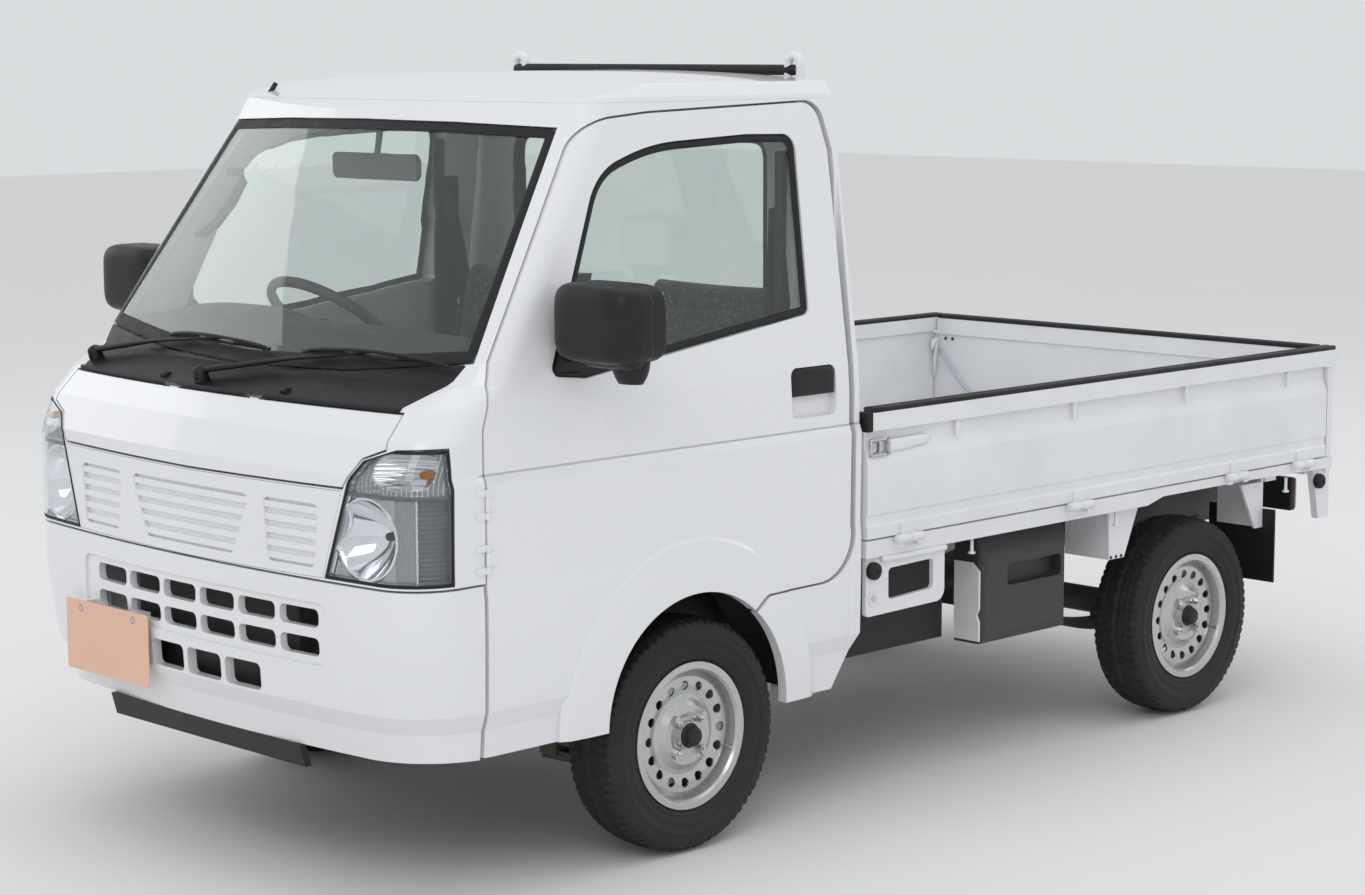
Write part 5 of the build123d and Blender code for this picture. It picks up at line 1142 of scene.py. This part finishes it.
class TRUCK_OT_mirrors(bpy.types.Operator):
    """Rounded covers of the door mirrors with their silvered faces, crowned door handles and the cowl's lip"""
    bl_idname = "truck.mirrors"
    bl_label = "Mirrors and handles"

    def execute(self, context):
        polar = np.linspace(0, math.pi, 72)[:, None]
        turn = np.linspace(0, 2 * math.pi, 120, endpoint=False)

        def power(value, exponent):
            return np.sign(value) * np.abs(value) ** exponent

        flat = power(np.sin(polar), 0.40)
        deep = power(np.sin(turn), np.where(np.sin(turn) > 0, 0.12, 0.62))
        points = xyz(MIRROR_X + 0.1178 * flat * power(np.cos(turn), 0.46), -1.2155 + 0.0700 * flat * deep,
                     MIRROR_Z + 0.0835 * power(np.cos(polar), 0.40))
        cover = (points, grid_faces(72, 120, wrap_columns=True))
        t = np.linspace(0, 1, 24)
        pod = tube(xyz(0.884, -1.1900, 1.175 - 0.069 * t), 0.049 * (1 - 0.38 * t ** 3), 40, up=(0, 1, 0),
                   flatten=0.7)
        put_pair("mirror_cover", merge((cover, pod)), "black_plastic", "door_{}")
        u, v = np.meshgrid(np.linspace(-1, 1, 40), np.linspace(-1, 1, 40))
        x, z = MIRROR_X + 0.098 * u, MIRROR_Z + 0.064 * v
        silver = shell(xyz(x, -1.1465 + 0.0022 * edge_fall(u, v, 8, 8), z), xyz(x, -1.1470, z))
        put_pair("mirror_face", silver, "mirror_face", "door_{}")
        arch = np.clip(1 - np.abs(u) ** 3.2, 0, 1) ** 0.35
        y, z = -0.455 + 0.0725 * u, 1.0035 + (0.040 + 0.0245 * arch) * (v + 1) / 2
        handle = shell(xyz(0.7175 + 0.0050 * edge_fall(u, v, 6, 6), y, z), xyz(0.7160, y, z))
        put_pair("door_handle", handle, "black_plastic", "door_{}")
        x = np.linspace(-0.592, 0.592, 90)
        lip = tube(xyz(x, front_y(x, 1.058, 0.0015), 1.058), 0.0058, 12)
        put_mesh("cowl_lip", lip, "black_rubber", "root")
        return {"FINISHED"}


# ---- fittings of the bed ----
GATE_X = 0.7345
HINGE_X, HINGE_Z = 0.7465, 0.636
HINGES = (-0.144, 0.519, 1.210, 1.529)
ROPE_HOOKS = (0.117, 0.700, 1.480)
BED_FACE_X = 0.7265
BED_BUFFERS = ((-0.259, 0.568), (1.627, 0.577))  # Y, Z
CLIPS = (0.7130, 0.7350, 0.7570)
BOLT_DISH = ((-0.001, 0.0), (0.0012, 0.019), (0.0022, 0.0185), (0.0024, 0.0165), (0.0004, 0.013), (0.0004, 0.0))
PANEL_BOLT = ((0.0, 0.0), (0.0, 0.0078), (0.0052, 0.0074), (0.0062, 0.0060), (0.0062, 0.0))
CLIP = ((-0.0005, 0.0), (-0.0005, 0.0045), (0.0018, 0.0042), (0.0024, 0.0))
CORNER_CATCH = (
    (-0.703, 1.6300, 0.842), (-0.6985, 1.6290, 0.858), (-0.6960, 1.6320, 0.872), (-0.6960, 1.6420, 0.876),
    (-0.6970, 1.6480, 0.866), (-0.6985, 1.6440, 0.840), (-0.6990, 1.6400, 0.800), (-0.6990, 1.6400, 0.760),
)
CATCH_RADII = (0.004, 0.007, 0.009, 0.009, 0.008, 0.006, 0.005, 0.003)
STAY_Y = 1.6445
STAY = ((-0.683, 0.846), (-0.668, 0.828), (-0.640, 0.796), (-0.610, 0.764), (-0.580, 0.732), (-0.553, 0.717),
        (-0.505, 0.712))  # X, Z


def dome(centre, radius, reach):
    """Round rubber buffer on a left-facing surface: a profile turned about X, with a small hollow in its face."""
    profile = ((0.0, 0.0), (0.0, 0.86), (0.12, 0.97), (0.45, 1.0), (0.78, 0.94), (0.95, 0.74), (1.0, 0.45),
               (0.97, 0.3), (0.8, 0.18), (0.8, 0.0))
    return turned(np.array(profile) * (reach, radius), centre, 40)


def gate_latch():
    """Flat tapered lever that locks a side gate, and the bent wires and plate that hold it."""
    y = np.array((-0.214, -0.200, -0.150, -0.100, -0.068, -0.060))
    z = np.array((0.8620, 0.8620, 0.8640, 0.8665, 0.8680, 0.8682))
    points, faces = tube(xyz(GATE_X, y, z), (0.0150, 0.0155, 0.0145, 0.0120, 0.0095, 0.0060), 20)
    points[:, 0] = GATE_X + (points[:, 0] - GATE_X) * 0.33
    wires = [tube(((0.7365, -0.277, z), (0.7385, -0.262, z), (0.7385, -0.230, z), (0.7365, -0.208, z)),
                  (0.0032, 0.0036, 0.0036, 0.0030), 10) for z in (0.8445, 0.8805)]
    wires += [tube(((0.7370, y, 0.8440), (0.7390, y, 0.8530), (0.7390, y, 0.8720), (0.7370, y, 0.8810)),
                   (0.0030, 0.0036, 0.0036, 0.0030), 10, up=(0, 1, 0)) for y in (-0.2755, -0.2440, -0.2120)]
    wires.append(block((0.7300, -0.2680, 0.8500), (GATE_X, -0.2200, 0.8750), 0.002, 3))
    return (points, faces), wires


def hinge_sleeves(low, high):
    """A sleeve of each gate hinge, from a low to a high Y off the hinge's middle."""
    run = (low, low + 0.002, high - 0.002, high)
    return [tube(xyz(HINGE_X, y + np.array(run), HINGE_Z), (0.0100, 0.0115, 0.0115, 0.0100), 24) for y in HINGES]


def rope_hooks():
    """Stems with a round foot under the bed's edge."""
    hooks = []
    for y in ROPE_HOOKS:
        for heights, radii, sides in (
                ((0.601, 0.580, 0.566, 0.5635), (0.0042, 0.0042, 0.0046, 0.0052), 14),
                ((0.5655, 0.5625, 0.5600), (0.0085, 0.0095, 0.0080), 18)):
            hooks.append(tube(xyz(0.722, y, np.array(heights)), radii, sides, up=(0, 1, 0)))
    return hooks


class TRUCK_OT_bed_fittings(bpy.types.Operator):
    """Latches, hinge sleeves, rope hooks, buffers, bolts, end caps and the guard's rubber strip"""
    bl_idname = "truck.bed_fittings"
    bl_label = "Bed fittings"

    def execute(self, context):
        lever, wires = gate_latch()
        rail = block((0.7260, -0.2300, 0.5850), (0.7400, 0.0060, 0.5995), 0.005, 4)
        hooks = hinge_sleeves(-0.0475, -0.0015) + rope_hooks() + [rail]
        gate = "side_gate_{}"
        put_pair("rail_cap", block((0.7005, -0.2885, 0.9010), (0.7425, -0.2700, 0.9480), 0.004, 4), "black_rubber",
                 gate)
        put_pair("gate_latch", merge([lever] + hinge_sleeves(0.0015, 0.0475)), "bed_paint", gate)
        put_pair("latch_frame", merge(wires), "bright_steel", gate)
        put_pair("bed_hooks", merge(hooks), "bed_paint")
        buffers = [dome((BED_FACE_X, y, z), 0.0215, 0.021) for y, z in BED_BUFFERS]
        put_pair("bed_buffers", merge(buffers), "black_rubber")
        put_pair("bolt_dish", turned(BOLT_DISH, (BED_FACE_X, -0.252, 0.500), 36), "bed_paint")
        put_pair("panel_bolt", turned(PANEL_BOLT, (0.7268, -0.252, 0.500), 6), "bright_steel", smooth=False)
        put_pair("fender_clips", merge([turned(CLIP, (0.698, y, 0.4705), 14) for y in CLIPS]), "black_plastic")
        strip = tube(xyz(np.linspace(-0.503, 0.503, 30), -0.274, 1.7425), 0.0128, 20)
        put_mesh("guard_strip", strip, "black_rubber", "root")
        catch = tube(CORNER_CATCH, CATCH_RADII, 14, up=(1, 0, 0))
        put_mesh("corner_catch", catch, "bed_paint", "side_gate_right")
        x, z = np.array(STAY).T
        put_mesh("gate_stay", tube(xyz(x, STAY_Y, z), 0.0038, 12, up=(0, 1, 0)), "stay_wire", "tailgate")
        plugs = [tube(xyz(x, np.array((1.6490, 1.6478, 1.6472)), 0.8815), (0.005, 0.005, 0.0035), 14)
                 for x in (-0.662, -0.634)]
        put_mesh("gate_plugs", merge(plugs), "black_plastic", "tailgate")
        return {"FINISHED"}


# ---- rubber strips of the gates ----
STRIP_BASE = 0.9468
STRIP_SECTION = np.array((
    (-0.019, -0.002), (-0.019, 0.008), (-0.016, 0.0105), (-0.004, 0.0105), (-0.0015, 0.0065),
    (0.0015, 0.0065), (0.004, 0.0105), (0.016, 0.0105), (0.019, 0.008), (0.019, -0.002),
))


def strip_along(start, end, taper, count, middle):
    """Ribbed strip from start to end, drawn in over the taper at both: run, across and height of its points."""
    run = np.concatenate([[start], np.linspace(start + taper, end - taper, count), [end]])[:, None]
    shrink = np.ones(run.shape)
    shrink[[0, -1]] = 0.05
    across, height = middle + STRIP_SECTION[:, 0] * shrink, STRIP_BASE + STRIP_SECTION[:, 1] * shrink
    return run, across, height, grid_faces(len(run), len(STRIP_SECTION), wrap_columns=True)


class TRUCK_OT_gate_strips(bpy.types.Operator):
    """Two-ribbed black rubber along the tops of the gates"""
    bl_idname = "truck.gate_strips"
    bl_label = "Gate strips"

    def execute(self, context):
        run, across, height, faces = strip_along(-0.27, 1.692, 0.008, 40, 0.7215)
        put_pair("gate_strip", (xyz(across, run, height), faces), "black_rubber", "side_gate_{}")
        run, across, height, faces = strip_along(-0.694, 0.694, 0.004, 30, 1.6645)
        put_mesh("gate_strip_tail", (xyz(run, across, height), faces), "black_rubber", "tailgate")
        return {"FINISHED"}


# ---- sizes and colours in the panel ----
class TruckLook(bpy.types.PropertyGroup):
    """Colours of the paint and the blank plate."""
    paint_colour: FloatVectorProperty(name="Paint", description="Colour of the body's paint",
                                      subtype="COLOR", size=3, default=(0.81, 0.815, 0.83), min=0, max=1)
    plate_colour: FloatVectorProperty(name="Plate", description="Colour of the blank number plate",
                                      subtype="COLOR", size=3, default=(0.82, 0.52, 0.38), min=0, max=1)


class TruckView(bpy.types.PropertyGroup):
    """Camera that took the photograph, as solved from the truck's known sizes, and the stage's light."""
    position: FloatVectorProperty(name="Position", description="Where the camera stands", subtype="TRANSLATION",
                                  unit="LENGTH", size=3, default=(5.1894, -5.2796, 1.8072))
    azimuth: FloatProperty(name="Azimuth", description="Direction that the camera looks from, round the truck",
                           subtype="ANGLE", default=math.radians(45.44))
    elevation: FloatProperty(name="Elevation", description="Height angle that the camera looks from",
                             subtype="ANGLE", default=math.radians(8.01))
    roll: FloatProperty(name="Roll", description="Turn of the camera about its own line of sight",
                        subtype="ANGLE", default=math.radians(-0.2))
    lens: FloatProperty(name="Lens", description="Focal length in millimetres on a 36 mm wide sensor",
                        default=75.85, min=10)
    floor_size: FloatProperty(name="Floor", description="Side of the pale floor", unit="LENGTH", default=60.0)
    sky_level: FloatProperty(name="Sky level", description="Strength of the even light from all round",
                             default=0.8, min=0)


class TRUCK_OT_finishes(bpy.types.Operator):
    """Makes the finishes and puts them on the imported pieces"""
    bl_idname = "truck.finishes"
    bl_label = "Finishes"

    def execute(self, context):
        make_materials(context.scene.truck_look)
        finish_nodes()
        return {"FINISHED"}


LAMPS = (
    # name, place, aim, size, power
    ("key", (5.5, -7.0, 6.5), (0, -0.3, 0.9), (6.0, 4.0), 150),
    ("top", (0.5, 0.5, 7.5), (0, 0, 0.8), (7.0, 7.0), 70),
    ("fill", (-7.0, -3.0, 3.5), (0, 0, 0.9), (5.0, 3.5), 50),
    ("back", (2.0, 8.0, 4.5), (0, 0.5, 0.9), (5.0, 3.5), 50),
)


def area_lamp(name, place, aim, size, power):
    """Soft square lamp at a place, pointed at a point."""
    lamp = bpy.data.lights.new(name, "AREA")
    lamp.shape = "RECTANGLE"
    lamp.size, lamp.size_y = size
    lamp.energy = power
    item = bpy.data.objects.new(name, lamp)
    item.location = place
    item.rotation_euler = (Vector(aim) - Vector(place)).to_track_quat("-Z", "Y").to_euler()
    bpy.context.scene.collection.objects.link(item)


class TRUCK_OT_stage(bpy.types.Operator):
    """Sets the pale floor, the soft lamps, the even background and the camera"""
    bl_idname = "truck.stage"
    bl_label = "Stage"

    def execute(self, context):
        scene = context.scene
        view = scene.truck_view
        scene.view_settings.view_transform = "Standard"
        half = view.floor_size / 2
        mesh = bpy.data.meshes.new("floor")
        mesh.from_pydata([(-half, -half, 0), (half, -half, 0), (half, half, 0), (-half, half, 0)], [],
                         [(0, 1, 2, 3)])
        floor = bpy.data.objects.new("floor", mesh)
        scene.collection.objects.link(floor)
        material, tree, shader = surface("floor_matt", Roughness=0.9, Specular_IOR_Level=0.1)
        drifting(tree, shader, (0.82, 0.82, 0.82), (0.79, 0.79, 0.79), 0.8, 0.3)
        mesh.materials.append(material)
        world = bpy.data.worlds.new("even_sky")
        world.use_nodes = True
        scene.world = world
        tree = world.node_tree
        plain = tree.nodes["Background"]
        plain.inputs["Color"].default_value = (0.96, 0.98, 1.0, 1)
        plain.inputs["Strength"].default_value = view.sky_level
        path = node(tree, "ShaderNodeLightPath").outputs
        seen = maths(tree, "MAXIMUM", path["Is Camera Ray"], path["Is Glossy Ray"])
        seen = maths(tree, "MAXIMUM", seen, path["Is Transmission Ray"])
        pale = node(tree, "ShaderNodeBackground", in_Color=(0.78, 0.8, 0.815, 1), in_Strength=0.9)
        mix = node(tree, "ShaderNodeMixShader", {0: seen, 1: plain.outputs[0], 2: pale.outputs[0]})
        tree.links.new(mix.outputs[0], tree.nodes["World Output"].inputs["Surface"])
        for name, place, aim, size, power in LAMPS:
            area_lamp(name, place, aim, size, power)
        camera = bpy.data.cameras.new("photo_view")
        camera.sensor_width = 36.0
        camera.lens = view.lens
        camera.clip_end = 200
        item = bpy.data.objects.new("photo_view", camera)
        scene.collection.objects.link(item)
        a, e, r = view.azimuth, view.elevation, view.roll
        back = np.array([math.sin(a) * math.cos(e), -math.cos(a) * math.cos(e), math.sin(e)])
        right = np.cross(-back, [0, 0, 1])
        right /= np.linalg.norm(right)
        up = np.cross(right, -back)
        across = math.cos(r) * right + math.sin(r) * up
        upward = -math.sin(r) * right + math.cos(r) * up
        turn = Matrix((across, upward, back)).transposed().to_4x4()
        item.matrix_world = Matrix.Translation(view.position) @ turn
        scene.camera = item
        return {"FINISHED"}


class TRUCK_PT_panel(bpy.types.Panel):
    """Lists the truck's groups of pieces and their settings"""
    bl_idname = "TRUCK_PT_panel"
    bl_label = "Truck"
    bl_space_type = "VIEW_3D"
    bl_region_type = "UI"
    bl_category = "Truck"

    def draw(self, context):
        for settings in (context.scene.truck_look, context.scene.truck_view):
            box = self.layout.box()
            for name in settings.__annotations__:
                box.prop(settings, name)
        for operator in OPERATORS:
            self.layout.operator(operator.bl_idname)


OPERATORS = (
    TRUCK_OT_finishes, TRUCK_OT_seals, TRUCK_OT_tyres, TRUCK_OT_wheel_trim, TRUCK_OT_headlamps,
    TRUCK_OT_rear_lamps, TRUCK_OT_seats, TRUCK_OT_cab_fittings, TRUCK_OT_steering_wheel, TRUCK_OT_wipers,
    TRUCK_OT_dash_pad, TRUCK_OT_mirrors, TRUCK_OT_gate_strips, TRUCK_OT_bed_fittings, TRUCK_OT_stage,
)
GROUP_CLASSES = (("truck_look", TruckLook), ("truck_view", TruckView))


def register():
    for name, group in GROUP_CLASSES:
        bpy.utils.register_class(group)
        setattr(bpy.types.Scene, name, PointerProperty(type=group))
    for operator in OPERATORS:
        bpy.utils.register_class(operator)
    bpy.utils.register_class(TRUCK_PT_panel)


def unregister():
    bpy.utils.unregister_class(TRUCK_PT_panel)
    for operator in reversed(OPERATORS):
        bpy.utils.unregister_class(operator)
    for name, group in reversed(GROUP_CLASSES):
        delattr(bpy.types.Scene, name)
        bpy.utils.unregister_class(group)


def main():
    """Registers the add-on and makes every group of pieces."""
    register()
    for operator in OPERATORS:
        group, name = operator.bl_idname.split(".")
        getattr(getattr(bpy.ops, group), name)()
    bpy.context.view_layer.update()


if __name__ == "__main__":
    main()
